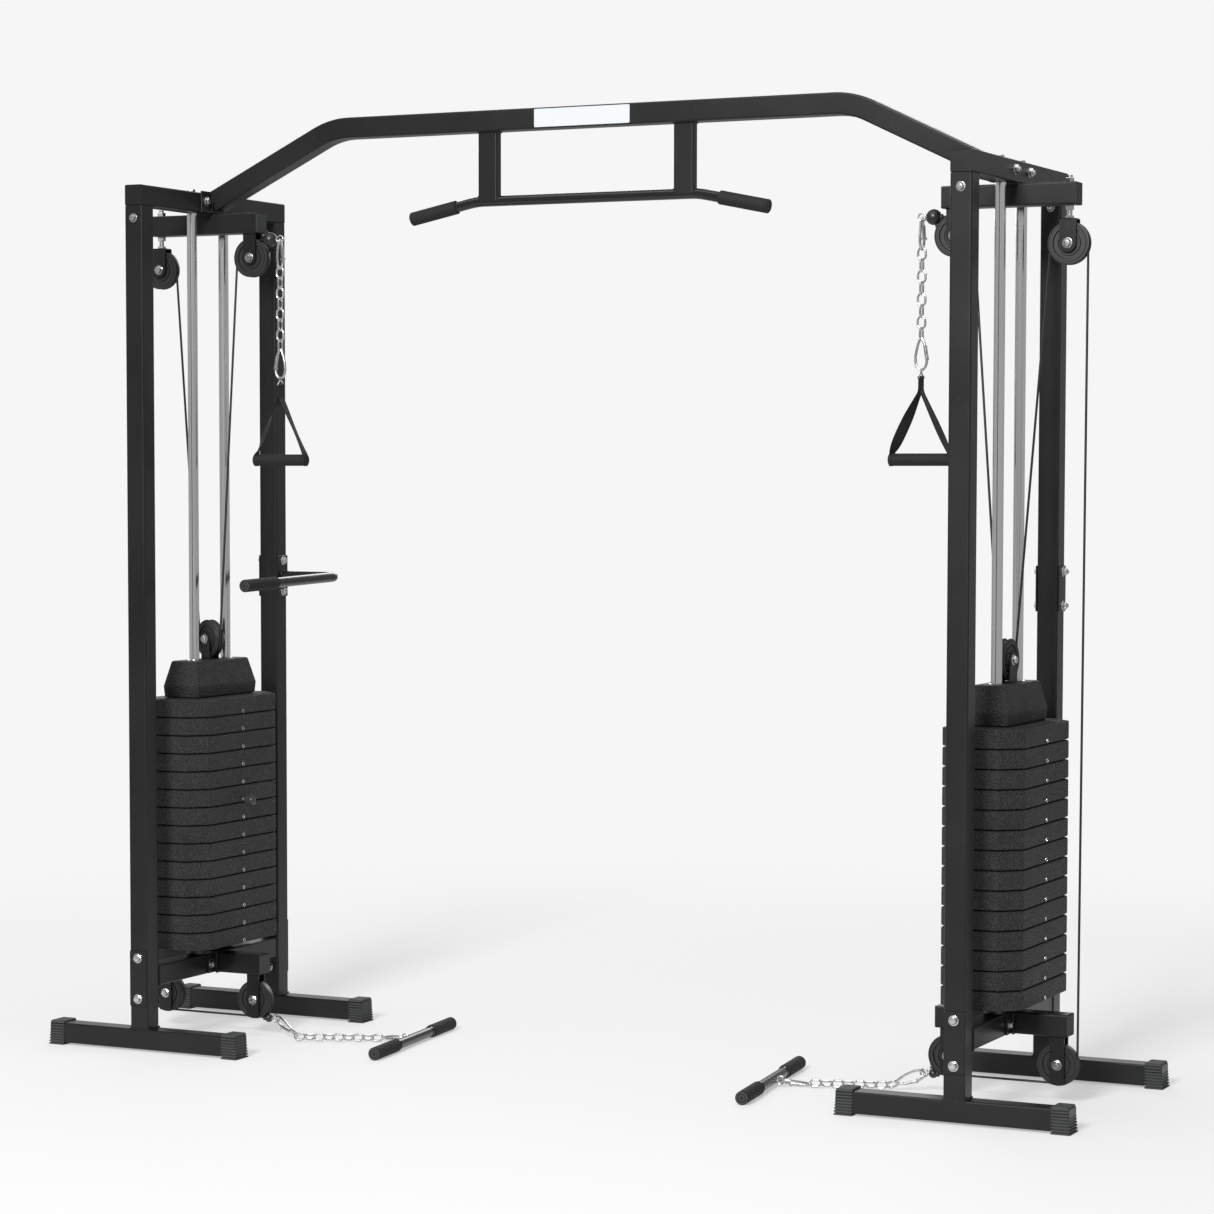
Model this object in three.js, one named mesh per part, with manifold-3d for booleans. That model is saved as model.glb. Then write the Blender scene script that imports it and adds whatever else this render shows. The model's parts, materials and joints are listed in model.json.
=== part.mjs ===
// Cable crossover machine: two weight-stack towers joined by a bent crossbar with a pull-up bar.
// Millimetres, +Z up, +X to the right, -Y to the front. The origin is on the floor at the centre.
// Each tower is drawn around its own centre line with +X pointing outward, away from the middle
// of the machine. The left tower is the mirror image of the right one.
import * as THREE from "three";
import { mergeVertices } from "three/addons/utils/BufferGeometryUtils.js";
import Module from "manifold-3d";

const wasm = await Module();
wasm.setup();

// Driving dimensions of the frame
const towerX = 1053; // centre of each tower
const legY = 305; // centre of the front and rear legs
const tube = 50; // side of every square frame tube
const half = tube / 2;
const wall = 2.5;
const room = half - wall; // half of a tube's inside
const gap = 0.3; // play between pieces that touch
const lap = 1; // how far a joined piece reaches into the next, or a cut past a face
const plate = 4; // thickness of flange plates
const frameTop = 2106;
const topTubeBottom = frameTop - tube;
const foot = { top: 55, inner: 280, frontOuter: 265, rearOuter: 290 };
const cap = { length: 45, halfWidth: 29, upperHalfWidth: 27.2, height: 60, slope: 3 };
const vent = { y: 200, radius: 4 };
const beamReach = 155; // half length of the pulley beam and of the base arms
const base = { z: 182, flangeDown: 70, flangeUp: 66, armFlangeReach: 62 };

// Wheels and what holds them
const wheelSize = {
  radius: 48, groove: 40, grooveHalf: 2.5, halfWidth: 10, rimHalf: 8, face: 41, hubHalf: 9, bore: 7,
};
const pitchRadius = 43.3; // radius of the cable's centre on a wheel
const cableRadius = 2.75;
const axleRadius = 6;
const axleOver = 4; // how far an axle stands out of its cheeks
const cheekInside = wheelSize.halfWidth + 2;
const cheekThickness = 3;
const cheekOutside = cheekInside + cheekThickness;
const innerTopWheel = { x: -130, z: 1946, cheekWidth: 35 };
const outerTopWheel = { x: 136, z: 1922, cheekWidth: 39 };
const bottomWheel = { x: 130, z: 92, cheekWidth: 34, cheekEnd: 44 };
const yoke = { bridgeTop: 1976, studHole: 7.5, studOver: 16, nutHeight: 11, nutRadius: 11 };

// Weight stack
const rod = { y: 72, radius: 12.5, hole: 14.5 };
const stackBottom = 232;
const platePitch = 44.5;
const restingCount = 8;
const liftedCount = 6;
const weight = { halfX: 96, halfY: 200, chamfer: 44, edge: 2, stemHole: 13, slotHalf: 7, slotHeight: 12 };
const restingTop = stackBottom + restingCount * platePitch;
const liftedTop = restingTop + liftedCount * platePitch;
const topBlock = {
  base: [50, 135], widest: [52, 137], widestZ: 886, crown: [38.5, 119], top: 946,
  stemRadius: 11, stemFloor: 4, yokeHalf: 17, yokeFloor: 2,
};
const pin = { z: restingTop + 6, radius: 4.5, hole: 5.6, holeReach: 20, tip: 16, knob: 13, knobLength: 26 };
const stackWheel = { z: 997, cheekWidth: 34, turn: { left: 22, right: 85 } }; // degrees about Z

// Handles
const upperBall = { x: -182, z: innerTopWheel.z + pitchRadius, radius: 18, eyeReach: 28 };
const lowerBall = { x: -168, z: 47, radius: 10.5, eyeReach: 22 };
const eye = { outer: 11, hole: 7.5, halfWidth: 2, neck: 5 };
const linkWire = 6;
const carabiner = { length: 76, width: 32, wire: linkWire };
const chainLink = { length: 32, width: 19, wire: 5 };
const upperEye = [upperBall.x - upperBall.eyeReach, 0, upperBall.z];
const upperChainEnd = [upperEye[0], 0, 1647];
const lowerEye = [lowerBall.x - lowerBall.eyeReach, 0, lowerBall.z];
const strap = {
  ringDrop: 5, ringOuter: 13.5, ringInner: 10, ringHalf: 2.5, topDrop: 16, splitZ: 1600, crotch: 5,
  gripZ: 1445, reach: 72, thickness: 3.5, width: 25, gripHalf: 75, gripRadius: 15,
};
const lowBar = {
  halfLength: 244, core: 12.5, grip: 16, gripStart: 110,
  eyeReach: 22, eyeHalf: 2.5, neckReach: 8, neckRadius: 8,
};
// Where the low chains and bars lie on the floor. The last point of each is the bar's eye.
const lowRoutes = {
  left: { points: [lowerEye, [-280, -38, 13], [-488, 62, 10.5], [-531, 52, 15]], barTurn: 6 },
  right: { points: [lowerEye, [-270, -8, 13], [-480, -62, 10.5], [-513, -77, 15]], barTurn: -7 },
};

// Crossbar, pull-up bar and balance handle
const bridge = {
  topZ: 2252, endZ: frameTop - half + 4, bendX: 680, bendRadius: 200, flangeHalf: 72, flangeOver: 4,
};
const pullUp = {
  z: 2063, bendX: 291, endX: 466, endZ: 2027, radius: 12.5, bendReach: 12,
  hangerX: 257, hangerHalf: 13, gripStart: 345, gripEnd: 469, gripRadius: 16.5,
};
const balance = {
  z: 1148, plateHalf: 53, elbowX: -861, endX: -870, endY: -126, drop: 12, radius: 12.5,
  bendReach: 30, gripRadius: 15.5, gripStart: 0.68, gripEnd: 1.01, // shares of the forward stretch
};

const looks = {
  paint: { color: 0x17181a, roughness: 0.45, metalness: 0.3 },
  gloss: { color: 0x0b0b0c, roughness: 0.12, metalness: 0.3 },
  chrome: { color: 0xd8dadd, roughness: 0.12, metalness: 1 },
  zinc: { color: 0xc9ccd0, roughness: 0.3, metalness: 1 },
  rubber: { color: 0x1c1c1d, roughness: 0.85, metalness: 0 },
  plastic: { color: 0x202122, roughness: 0.55, metalness: 0 },
  grained: { color: 0x2b2b2c, roughness: 0.8, metalness: 0 },
  webbing: { color: 0x161617, roughness: 0.9, metalness: 0 },
};

const bothSides = (make) => [-1, 1].map(make);
const vector = (point) => new THREE.Vector3(...point);
const radians = THREE.MathUtils.degToRad;

// Booleans on closed three.js geometries

function solidOf(geometry) {
  const bare = geometry.clone();
  bare.deleteAttribute("normal");
  bare.deleteAttribute("uv");
  const merged = mergeVertices(bare, 0.0005);
  const vertProperties = new Float32Array(merged.attributes.position.array);
  const triVerts = new Uint32Array(merged.index.array);
  return new wasm.Manifold(new wasm.Mesh({ numProp: 3, vertProperties, triVerts }));
}

function geometryOf(solid) {
  const mesh = solid.getMesh();
  const geometry = new THREE.BufferGeometry();
  geometry.setAttribute("position", new THREE.BufferAttribute(mesh.vertProperties, 3));
  geometry.setIndex(new THREE.BufferAttribute(mesh.triVerts, 1));
  return geometry;
}

function join(...geometries) {
  return geometryOf(geometries.map(solidOf).reduce((sum, solid) => sum.add(solid)));
}

function cut(block, ...tools) {
  return geometryOf(tools.map(solidOf).reduce((rest, solid) => rest.subtract(solid), solidOf(block)));
}

// Simple shapes

function box(x0, x1, y0, y1, z0, z1) {
  const block = new THREE.BoxGeometry(Math.abs(x1 - x0), Math.abs(y1 - y0), Math.abs(z1 - z0));
  return block.translate((x0 + x1) / 2, (y0 + y1) / 2, (z0 + z1) / 2);
}

function rodBetween(start, end, radius, sides = 12) {
  const from = vector(start);
  const along = vector(end).sub(from);
  const turn = new THREE.Quaternion().setFromUnitVectors(
    new THREE.Vector3(0, 1, 0), along.clone().normalize());
  const cylinder = new THREE.CylinderGeometry(radius, radius, along.length(), sides);
  const middle = from.addScaledVector(along, 0.5);
  return cylinder.applyQuaternion(turn).translate(middle.x, middle.y, middle.z);
}

// A closed skin over a stack of outlines that all have the same number of points.
function skin(rings) {
  const count = rings[0].length;
  const index = [];
  for (let level = 0; level + 1 < rings.length; level += 1) {
    for (let side = 0; side < count; side += 1) {
      const a = level * count + side;
      const b = level * count + (side + 1) % count;
      index.push(a, b, b + count, a, b + count, a + count);
    }
  }
  const top = (rings.length - 1) * count;
  for (let side = 1; side + 1 < count; side += 1) {
    index.push(0, side + 1, side, top, top + side, top + side + 1);
  }
  const geometry = new THREE.BufferGeometry();
  geometry.setAttribute("position", new THREE.Float32BufferAttribute(rings.flat(2), 3));
  geometry.setIndex(index);
  return geometry;
}

function rectangle(halfX, halfY, z, x = 0, y = 0) {
  return [[x - halfX, y - halfY, z], [x + halfX, y - halfY, z],
    [x + halfX, y + halfY, z], [x - halfX, y + halfY, z]];
}

function octagon(halfX, halfY, chamfer, z) {
  const shortX = halfX - chamfer;
  const shortY = halfY - chamfer;
  return [[-shortX, -halfY, z], [shortX, -halfY, z], [halfX, -shortY, z], [halfX, shortY, z],
    [shortX, halfY, z], [-shortX, halfY, z], [-halfX, shortY, z], [-halfX, -shortY, z]];
}

// A round section carried along corner points, square to the bisector at each corner.
function sweep(points, radius, sides = 8) {
  const corners = points.map(vector);
  const reference = new THREE.Vector3(0.08, 1, 0.05); // leans off Y so that it is parallel to no run
  const rings = corners.map((corner, i) => {
    const before = corners[Math.max(i - 1, 0)];
    const after = corners[Math.min(i + 1, corners.length - 1)];
    const along = after.clone().sub(before).normalize();
    const across = reference.clone().addScaledVector(along, -reference.dot(along)).normalize();
    const third = along.clone().cross(across);
    const ring = [];
    for (let side = 0; side < sides; side += 1) {
      const turn = (side / sides) * 2 * Math.PI;
      const point = corner.clone().addScaledVector(across, radius * Math.cos(turn));
      ring.push(point.addScaledVector(third, radius * Math.sin(turn)).toArray());
    }
    return ring;
  });
  return skin(rings);
}

// A round bar through corner points, with each inner corner rounded off.
function roundBar(points, radius, bendReach) {
  const corners = points.map(vector);
  const route = [points[0]];
  for (let i = 1; i + 1 < corners.length; i += 1) {
    const [before, after] = [corners[i - 1], corners[i + 1]].map((next) =>
      corners[i].clone().addScaledVector(next.clone().sub(corners[i]).normalize(), bendReach));
    const bend = new THREE.QuadraticBezierCurve3(before, corners[i], after);
    route.push(...bend.getPoints(4).map((point) => point.toArray()));
  }
  route.push(points[points.length - 1]);
  return sweep(route, radius, 10);
}

function mirrored(geometry) {
  const flipped = geometry.index ? geometry.clone() : mergeVertices(geometry);
  flipped.scale(-1, 1, 1);
  const index = flipped.index.array;
  for (let i = 0; i < index.length; i += 3) {
    [index[i], index[i + 1]] = [index[i + 1], index[i]];
  }
  return flipped;
}

// Frame tubes

// An upright and the foot tube across its lower end, both hollow.
function leg(y, outerReach) {
  const footBottom = foot.top - tube;
  const footStart = -foot.inner + plate;
  const footEnd = outerReach - plate;
  const top = topTubeBottom - gap;
  const upright = box(-half, half, y - half, y + half, foot.top - lap, top);
  const footTube = box(footStart, footEnd, y - half, y + half, footBottom, foot.top);
  const uprightBore = box(-room, room, y - room, y + room, foot.top, top + lap);
  const footBore = box(footStart - lap, footEnd + lap, y - room, y + room,
    footBottom + wall, foot.top - wall);
  return cut(join(upright, footTube), uprightBore, footBore);
}

// A rubber sleeve that closes the end of a foot tube and stands on the floor.
function footCap(y, reach, side) {
  const centre = side * (reach - cap.length / 2);
  const block = skin([
    rectangle(cap.length / 2, cap.halfWidth, 0, centre, y),
    rectangle(cap.length / 2 - cap.slope, cap.upperHalfWidth, cap.height, centre - side * cap.slope, y),
  ]);
  const pocketHalf = half + gap;
  const stop = side * (reach - plate + gap);
  const start = side * (reach - cap.length - lap);
  const pocket = box(start, stop, y - pocketHalf, y + pocketHalf, foot.top - tube - gap, foot.top + gap);
  return cut(block, pocket);
}

// Closed at both ends, with a vent hole in its underside.
function topTube() {
  const reach = legY + half;
  const outside = box(-half, half, -reach, reach, topTubeBottom, frameTop);
  const bore = box(-room, room, wall - reach, reach - wall, topTubeBottom + wall, frameTop - wall);
  const ventHole = rodBetween([0, vent.y, topTubeBottom - lap],
    [0, vent.y, topTubeBottom + wall + lap], vent.radius);
  return cut(outside, bore, ventHole);
}

// Two flat cheeks that hold a wheel, and the wheel's axle. Their free ends are round, or
// square where an end reach below the axle is given.
function cheeks(x, z, farZ, width, turn = 0, endReach = 0) {
  const low = Math.min(-endReach, farZ - z);
  const high = Math.max(0, farZ - z);
  const pieces = bothSides((side) => {
    const near = side * cheekInside;
    const far = side * cheekOutside;
    const body = box(-width / 2, width / 2, near, far, low, high);
    return endReach ? body : join(body, rodBetween([0, near, 0], [0, far, 0], width / 2));
  });
  const axleEnd = cheekOutside + axleOver;
  const axle = rodBetween([0, -axleEnd, 0], [0, axleEnd, 0], axleRadius);
  return join(...pieces, axle).rotateZ(turn).translate(x, 0, z);
}

function topBeam() {
  const top = topTubeBottom - gap;
  const bottom = top - tube;
  const outside = box(-beamReach, beamReach, -half, half, bottom, top);
  const bore = box(-beamReach - lap, beamReach + lap, -room, room, bottom + wall, top - wall);
  const studHole = rodBetween([outerTopWheel.x, 0, bottom - lap], [outerTopWheel.x, 0, top + lap],
    yoke.studHole);
  const holder = cheeks(innerTopWheel.x, innerTopWheel.z, bottom + lap, innerTopWheel.cheekWidth);
  return join(cut(outside, bore, studHole), holder);
}

// The yoke of the outer wheel hangs on a threaded stud with a nut above the beam.
function outerYoke() {
  const { x, z, cheekWidth } = outerTopWheel;
  const top = yoke.bridgeTop;
  const bridgePlate = box(x - cheekWidth / 2, x + cheekWidth / 2, -cheekOutside, cheekOutside,
    top - plate, top);
  const stud = rodBetween([x, 0, top - lap], [x, 0, topTubeBottom + yoke.studOver], axleRadius);
  const nut = rodBetween([x, 0, topTubeBottom], [x, 0, topTubeBottom + yoke.nutHeight],
    yoke.nutRadius, 6);
  return join(cheeks(x, z, top - lap, cheekWidth), bridgePlate, stud, nut);
}

// The base tube between the legs, its flanges, the two arms and the cheeks of the bottom wheels.
function baseFrame() {
  const reach = legY - half - gap;
  const bottom = base.z - half;
  const top = base.z + half;
  const spine = box(-half, half, -reach, reach, bottom, top);
  const arms = box(-beamReach, beamReach, -half, half, bottom, top);
  const flanges = bothSides((side) => box(-half, half, side * (reach - plate), side * reach,
    base.z - base.flangeDown, base.z + base.flangeUp));
  const armFlanges = bothSides((side) => box(side * (half - lap), side * (half + plate),
    -base.armFlangeReach, base.armFlangeReach, bottom, top));
  const armBore = box(-beamReach - lap, beamReach + lap, -room, room, bottom + wall, top - wall);
  const spineBore = box(-room, room, plate - reach, reach - plate, bottom + wall, top - wall);
  const hollow = cut(join(spine, arms, ...flanges, ...armFlanges), spineBore, armBore);
  const holders = bothSides((side) => cheeks(side * bottomWheel.x, bottomWheel.z, bottom + lap,
    bottomWheel.cheekWidth, 0, bottomWheel.cheekEnd));
  return join(hollow, ...holders);
}

function guideRod(y) {
  return rodBetween([0, y, base.z + half + gap], [0, y, topTubeBottom - gap], rod.radius, 16);
}

// Wheels

function wheel(x, z, turn = 0) {
  const { radius, groove, grooveHalf, halfWidth, rimHalf, face, hubHalf, bore } = wheelSize;
  const profile = [
    [bore, -hubHalf], [face, -halfWidth], [radius, -rimHalf], [groove, -grooveHalf],
    [groove, grooveHalf], [radius, rimHalf], [face, halfWidth], [bore, hubHalf], [bore, -hubHalf],
  ].map(([r, y]) => new THREE.Vector2(r, y));
  return new THREE.LatheGeometry(profile, 18).rotateZ(turn).translate(x, 0, z);
}

// Weight stack

function rodHoles(bottom, top) {
  return bothSides((side) =>
    rodBetween([0, side * rod.y, bottom - lap], [0, side * rod.y, top + lap], rod.hole, 16));
}

function plates(bottom, count) {
  const { halfX, halfY, chamfer, edge, stemHole, slotHalf, slotHeight } = weight;
  const rings = [];
  for (let i = 0; i < count; i += 1) {
    const low = bottom + i * platePitch;
    rings.push(octagon(halfX - edge, halfY - edge, chamfer, low));
    rings.push(octagon(halfX, halfY, chamfer, low + edge));
    rings.push(octagon(halfX, halfY, chamfer, low + platePitch - edge));
  }
  const top = bottom + count * platePitch;
  rings.push(octagon(halfX - edge, halfY - edge, chamfer, top));
  const stem = rodBetween([0, 0, bottom - lap], [0, 0, top + lap], stemHole, 16);
  const slot = box(-halfX - lap, halfX + lap, -slotHalf, slotHalf, bottom - lap, bottom + slotHeight);
  return cut(skin(rings), stem, slot, ...rodHoles(bottom, top));
}

// The tapered top weight carries the selector stem below it and the stack wheel's yoke above it.
function topWeight(turn) {
  const bottom = liftedTop + gap;
  const top = topBlock.top;
  const block = skin([
    rectangle(...topBlock.base, bottom),
    rectangle(...topBlock.widest, topBlock.widestZ),
    rectangle(...topBlock.crown, top),
  ]);
  const stemBottom = stackBottom + topBlock.stemFloor;
  const stem = rodBetween([0, 0, stemBottom], [0, 0, bottom + lap], topBlock.stemRadius, 16);
  const pinHole = rodBetween([-pin.holeReach, 0, pin.z], [pin.holeReach, 0, pin.z], pin.hole);
  const yokeHalf = topBlock.yokeHalf;
  const yokeFloor = box(-yokeHalf, yokeHalf, -cheekOutside, cheekOutside, top - lap,
    top + topBlock.yokeFloor).rotateZ(turn);
  const body = cut(join(block, stem), pinHole, ...rodHoles(bottom, top));
  return join(body, yokeFloor, cheeks(0, stackWheel.z, top + lap, stackWheel.cheekWidth, turn));
}

function selectorPin() {
  const knobStart = -weight.halfX - 5;
  const shank = rodBetween([knobStart - lap, 0, pin.z], [pin.tip, 0, pin.z], pin.radius);
  const knob = rodBetween([knobStart, 0, pin.z], [knobStart - pin.knobLength, 0, pin.z], pin.knob);
  return join(shank, knob);
}

// Cables

// Points round a wheel from one angle to another, in a plane that leans about Z.
function arcPoints({ x, z }, from, to, count, lean = 0) {
  const points = [];
  for (let i = 0; i <= count; i += 1) {
    const turn = radians(from + (to - from) * (i / count));
    const reach = pitchRadius * Math.cos(turn);
    points.push([x + reach * Math.cos(lean), reach * Math.sin(lean), z + pitchRadius * Math.sin(turn)]);
  }
  return points;
}

// From the upper stop ball over the inner wheel, under the stack wheel and up over the outer wheel.
function stackCable(turn) {
  return sweep([
    [upperBall.x + upperBall.radius + lap, 0, upperBall.z],
    ...arcPoints(innerTopWheel, 90, 2, 6),
    ...arcPoints({ x: 0, z: stackWheel.z }, 182, 358, 10, turn),
    ...arcPoints(outerTopWheel, 178, 92, 6),
  ], cableRadius);
}

// From the outer top wheel down to the bottom wheels and under them to the lower stop ball.
function pullCable() {
  return sweep([
    ...arcPoints(outerTopWheel, 90, 0, 6),
    ...arcPoints(bottomWheel, 0, -90, 6),
    [-bottomWheel.x, 0, bottomWheel.z - pitchRadius],
    [lowerBall.x + lowerBall.radius + lap, 0, lowerBall.z],
  ], cableRadius);
}

// A rubber ball with a steel eye. The eye's hole runs along Y.
function stopBall({ x, z, radius, eyeReach }) {
  const ball = new THREE.SphereGeometry(radius, 12, 8).rotateZ(Math.PI / 2).translate(x, 0, z);
  const eyeX = x - eyeReach;
  const neck = rodBetween([x, 0, z], [eyeX + 9, 0, z], eye.neck);
  const disc = rodBetween([eyeX, -eye.halfWidth, z], [eyeX, eye.halfWidth, z], eye.outer);
  const hole = rodBetween([eyeX, -eye.neck, z], [eyeX, eye.neck, z], eye.hole);
  return join(ball, cut(join(disc, neck), hole));
}

// Chains: long rings with round ends, each one turned a quarter to the one before it

function ringLink({ length, width, wire }) {
  const outline = (inset) => {
    const radius = width / 2 - inset;
    const straight = length / 2 - width / 2;
    const path = new THREE.Path();
    path.absarc(straight, 0, radius, -Math.PI / 2, Math.PI / 2, false);
    path.absarc(-straight, 0, radius, Math.PI / 2, 1.5 * Math.PI, false);
    return path.getPoints(2);
  };
  const shape = new THREE.Shape(outline(0));
  shape.holes.push(new THREE.Path(outline(wire)));
  return new THREE.ExtrudeGeometry(shape, { depth: wire, bevelEnabled: false })
    .translate(0, 0, -wire / 2);
}

// Places a ring around its middle, with its flat side across the given side vector.
function placedLink(size, middle, along, side) {
  const third = along.clone().cross(side).normalize();
  const place = new THREE.Matrix4().makeBasis(along, side, third).setPosition(middle);
  return ringLink(size).applyMatrix4(place);
}

// A carabiner at each end and links between them, fused in one piece along the corner points.
function chain(points) {
  const corners = points.map(vector);
  const lengths = corners.slice(1).map((corner, i) => corner.distanceTo(corners[i]));
  const total = lengths.reduce((sum, length) => sum + length, 0);
  const at = (distance) => {
    let rest = distance;
    let stretch = 0;
    while (stretch + 1 < lengths.length && rest > lengths[stretch]) {
      rest -= lengths[stretch];
      stretch += 1;
    }
    const along = corners[stretch + 1].clone().sub(corners[stretch]).normalize();
    return { point: corners[stretch].clone().addScaledVector(along, rest), along };
  };
  const overlap = 1.5 * linkWire;
  const between = total + linkWire - 2 * carabiner.length + 2 * overlap;
  const count = Math.round((between - overlap) / (chainLink.length - overlap) / 2) * 2 - 1;
  const length = (between + (count - 1) * overlap) / count;
  const links = Array.from({ length: count }, () => ({ ...chainLink, length }));
  const across = new THREE.Vector3(0, 1, 0);
  let distance = -linkWire / 2;
  const pieces = [carabiner, ...links, carabiner].map((size, i) => {
    const { point, along } = at(distance + size.length / 2);
    const level = across.clone().addScaledVector(along, -across.dot(along)).normalize();
    const side = i % 2 === 0 ? level : along.clone().cross(level);
    distance += size.length - overlap;
    return placedLink(size, point, along, side);
  });
  return join(...pieces);
}

// A ring, two webbing straps that spread to the ends of a round grip, and the grip.
function strapHandle() {
  const { gripZ, splitZ, reach, thickness } = strap;
  const [x, , hingeZ] = upperChainEnd;
  const ringZ = hingeZ - strap.ringDrop;
  const strapTop = hingeZ - strap.topDrop;
  const ring = cut(
    rodBetween([x, -strap.ringHalf, ringZ], [x, strap.ringHalf, ringZ], strap.ringOuter, 16),
    rodBetween([x, -strap.ringDrop, ringZ], [x, strap.ringDrop, ringZ], strap.ringInner, 16));
  const corners = [
    [-reach, gripZ], [-thickness, splitZ], [-thickness, strapTop], [thickness, strapTop],
    [thickness, splitZ], [reach, gripZ], [reach - thickness, gripZ], [0, splitZ - strap.crotch],
    [thickness - reach, gripZ],
  ].map(([across, z]) => new THREE.Vector2(across, z));
  const straps = new THREE.ExtrudeGeometry(new THREE.Shape(corners),
    { depth: strap.width, bevelEnabled: false })
    .rotateX(Math.PI / 2).translate(x, strap.width / 2, 0);
  const grip = rodBetween([x - strap.gripHalf, 0, gripZ], [x + strap.gripHalf, 0, gripZ],
    strap.gripRadius, 16);
  return join(ring, straps, grip);
}

// A straight bar that lies on its grips, with an eye at its middle.
function lowerBar({ points, barTurn }) {
  const turn = radians(barTurn);
  const [eyeX, eyeY] = points[points.length - 1];
  const centreX = eyeX - lowBar.eyeReach * Math.cos(turn);
  const centreY = eyeY + lowBar.eyeReach * Math.sin(turn);
  const spot = (distance, across = 0) => [
    centreX + distance * Math.sin(turn) + across * Math.cos(turn),
    centreY + distance * Math.cos(turn) - across * Math.sin(turn), lowBar.grip];
  const { halfLength, gripStart, eyeReach, eyeHalf, neckReach, neckRadius } = lowBar;
  const core = rodBetween(spot(lap - halfLength), spot(halfLength - lap), lowBar.core);
  const grips = bothSides((side) =>
    rodBetween(spot(side * gripStart), spot(side * halfLength), lowBar.grip));
  const disc = rodBetween(spot(-eyeHalf, eyeReach), spot(eyeHalf, eyeReach), eye.outer);
  const neck = rodBetween(spot(-eyeHalf, neckReach), spot(eyeHalf, neckReach), neckRadius);
  const hole = rodBetween(spot(-eye.neck, eyeReach), spot(eye.neck, eyeReach), eye.hole);
  return join(core, ...grips, cut(join(disc, neck), hole));
}

// The whole tower
function tower(name, side) {
  const group = new THREE.Group();
  group.position.x = side * towerX;
  const route = lowRoutes[name];
  const turn = radians(stackWheel.turn[name]);
  const add = (piece, look, geometry) => {
    const placed = side > 0 ? geometry : mirrored(geometry);
    const mesh = new THREE.Mesh(placed, new THREE.MeshStandardMaterial(looks[look]));
    mesh.name = `${name}_${piece}`;
    group.add(mesh);
  };
  add("front_leg", "paint", leg(-legY, foot.frontOuter));
  add("rear_leg", "paint", leg(legY, foot.rearOuter));
  add("front_inner_foot_cap", "rubber", footCap(-legY, foot.inner, -1));
  add("front_outer_foot_cap", "rubber", footCap(-legY, foot.frontOuter, 1));
  add("rear_inner_foot_cap", "rubber", footCap(legY, foot.inner, -1));
  add("rear_outer_foot_cap", "rubber", footCap(legY, foot.rearOuter, 1));
  add("top_tube", "paint", topTube());
  add("pulley_beam", "paint", topBeam());
  add("base_frame", "paint", baseFrame());
  add("front_guide_rod", "chrome", guideRod(-rod.y));
  add("rear_guide_rod", "chrome", guideRod(rod.y));
  add("resting_plates", "grained", plates(stackBottom, restingCount));
  add("lifted_plates", "grained", plates(restingTop + gap, liftedCount));
  add("top_weight", "grained", topWeight(turn));
  add("selector_pin", "plastic", selectorPin());
  add("stack_wheel", "plastic", wheel(0, stackWheel.z, turn));
  add("outer_yoke", "paint", outerYoke());
  add("outer_top_wheel", "plastic", wheel(outerTopWheel.x, outerTopWheel.z));
  add("inner_top_wheel", "plastic", wheel(innerTopWheel.x, innerTopWheel.z));
  add("outer_bottom_wheel", "plastic", wheel(bottomWheel.x, bottomWheel.z));
  add("inner_bottom_wheel", "plastic", wheel(-bottomWheel.x, bottomWheel.z));
  add("stack_cable", "plastic", stackCable(turn));
  add("pull_cable", "plastic", pullCable());
  add("upper_ball", "rubber", stopBall(upperBall));
  add("upper_chain", "zinc", chain([upperEye, upperChainEnd]));
  add("strap_handle", "webbing", strapHandle());
  add("lower_ball", "rubber", stopBall(lowerBall));
  add("lower_chain", "zinc", chain(route.points));
  add("lower_bar", "gloss", lowerBar(route));
  return group;
}

// The bent square tube of the crossbar, drawn in the XZ plane and set in from its surface.
function bridgeTube(inset) {
  const { topZ, endZ, bendX, bendRadius } = bridge;
  const endX = towerX - half - gap;
  const slope = Math.atan2(topZ - endZ, endX - bendX);
  const arcX = bendX - bendRadius * Math.tan(slope / 2);
  const arcZ = topZ - bendRadius;
  const side = half - inset;
  const drop = side / Math.cos(slope);
  const reach = inset > 0 ? endX + lap : endX;
  const lowEnd = endZ - (reach - endX) * Math.tan(slope);
  const up = Math.PI / 2;
  const shape = new THREE.Shape();
  shape.moveTo(reach, lowEnd - drop);
  shape.lineTo(reach, lowEnd + drop);
  shape.absarc(arcX, arcZ, bendRadius + side, up - slope, up, false);
  shape.absarc(-arcX, arcZ, bendRadius + side, up, up + slope, false);
  shape.lineTo(-reach, lowEnd + drop);
  shape.lineTo(-reach, lowEnd - drop);
  shape.absarc(-arcX, arcZ, bendRadius - side, up + slope, up, true);
  shape.absarc(arcX, arcZ, bendRadius - side, up, up - slope, true);
  shape.closePath();
  return new THREE.ExtrudeGeometry(shape, { depth: 2 * side, bevelEnabled: false, curveSegments: 4 })
    .rotateX(Math.PI / 2).translate(0, side, 0);
}

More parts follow.
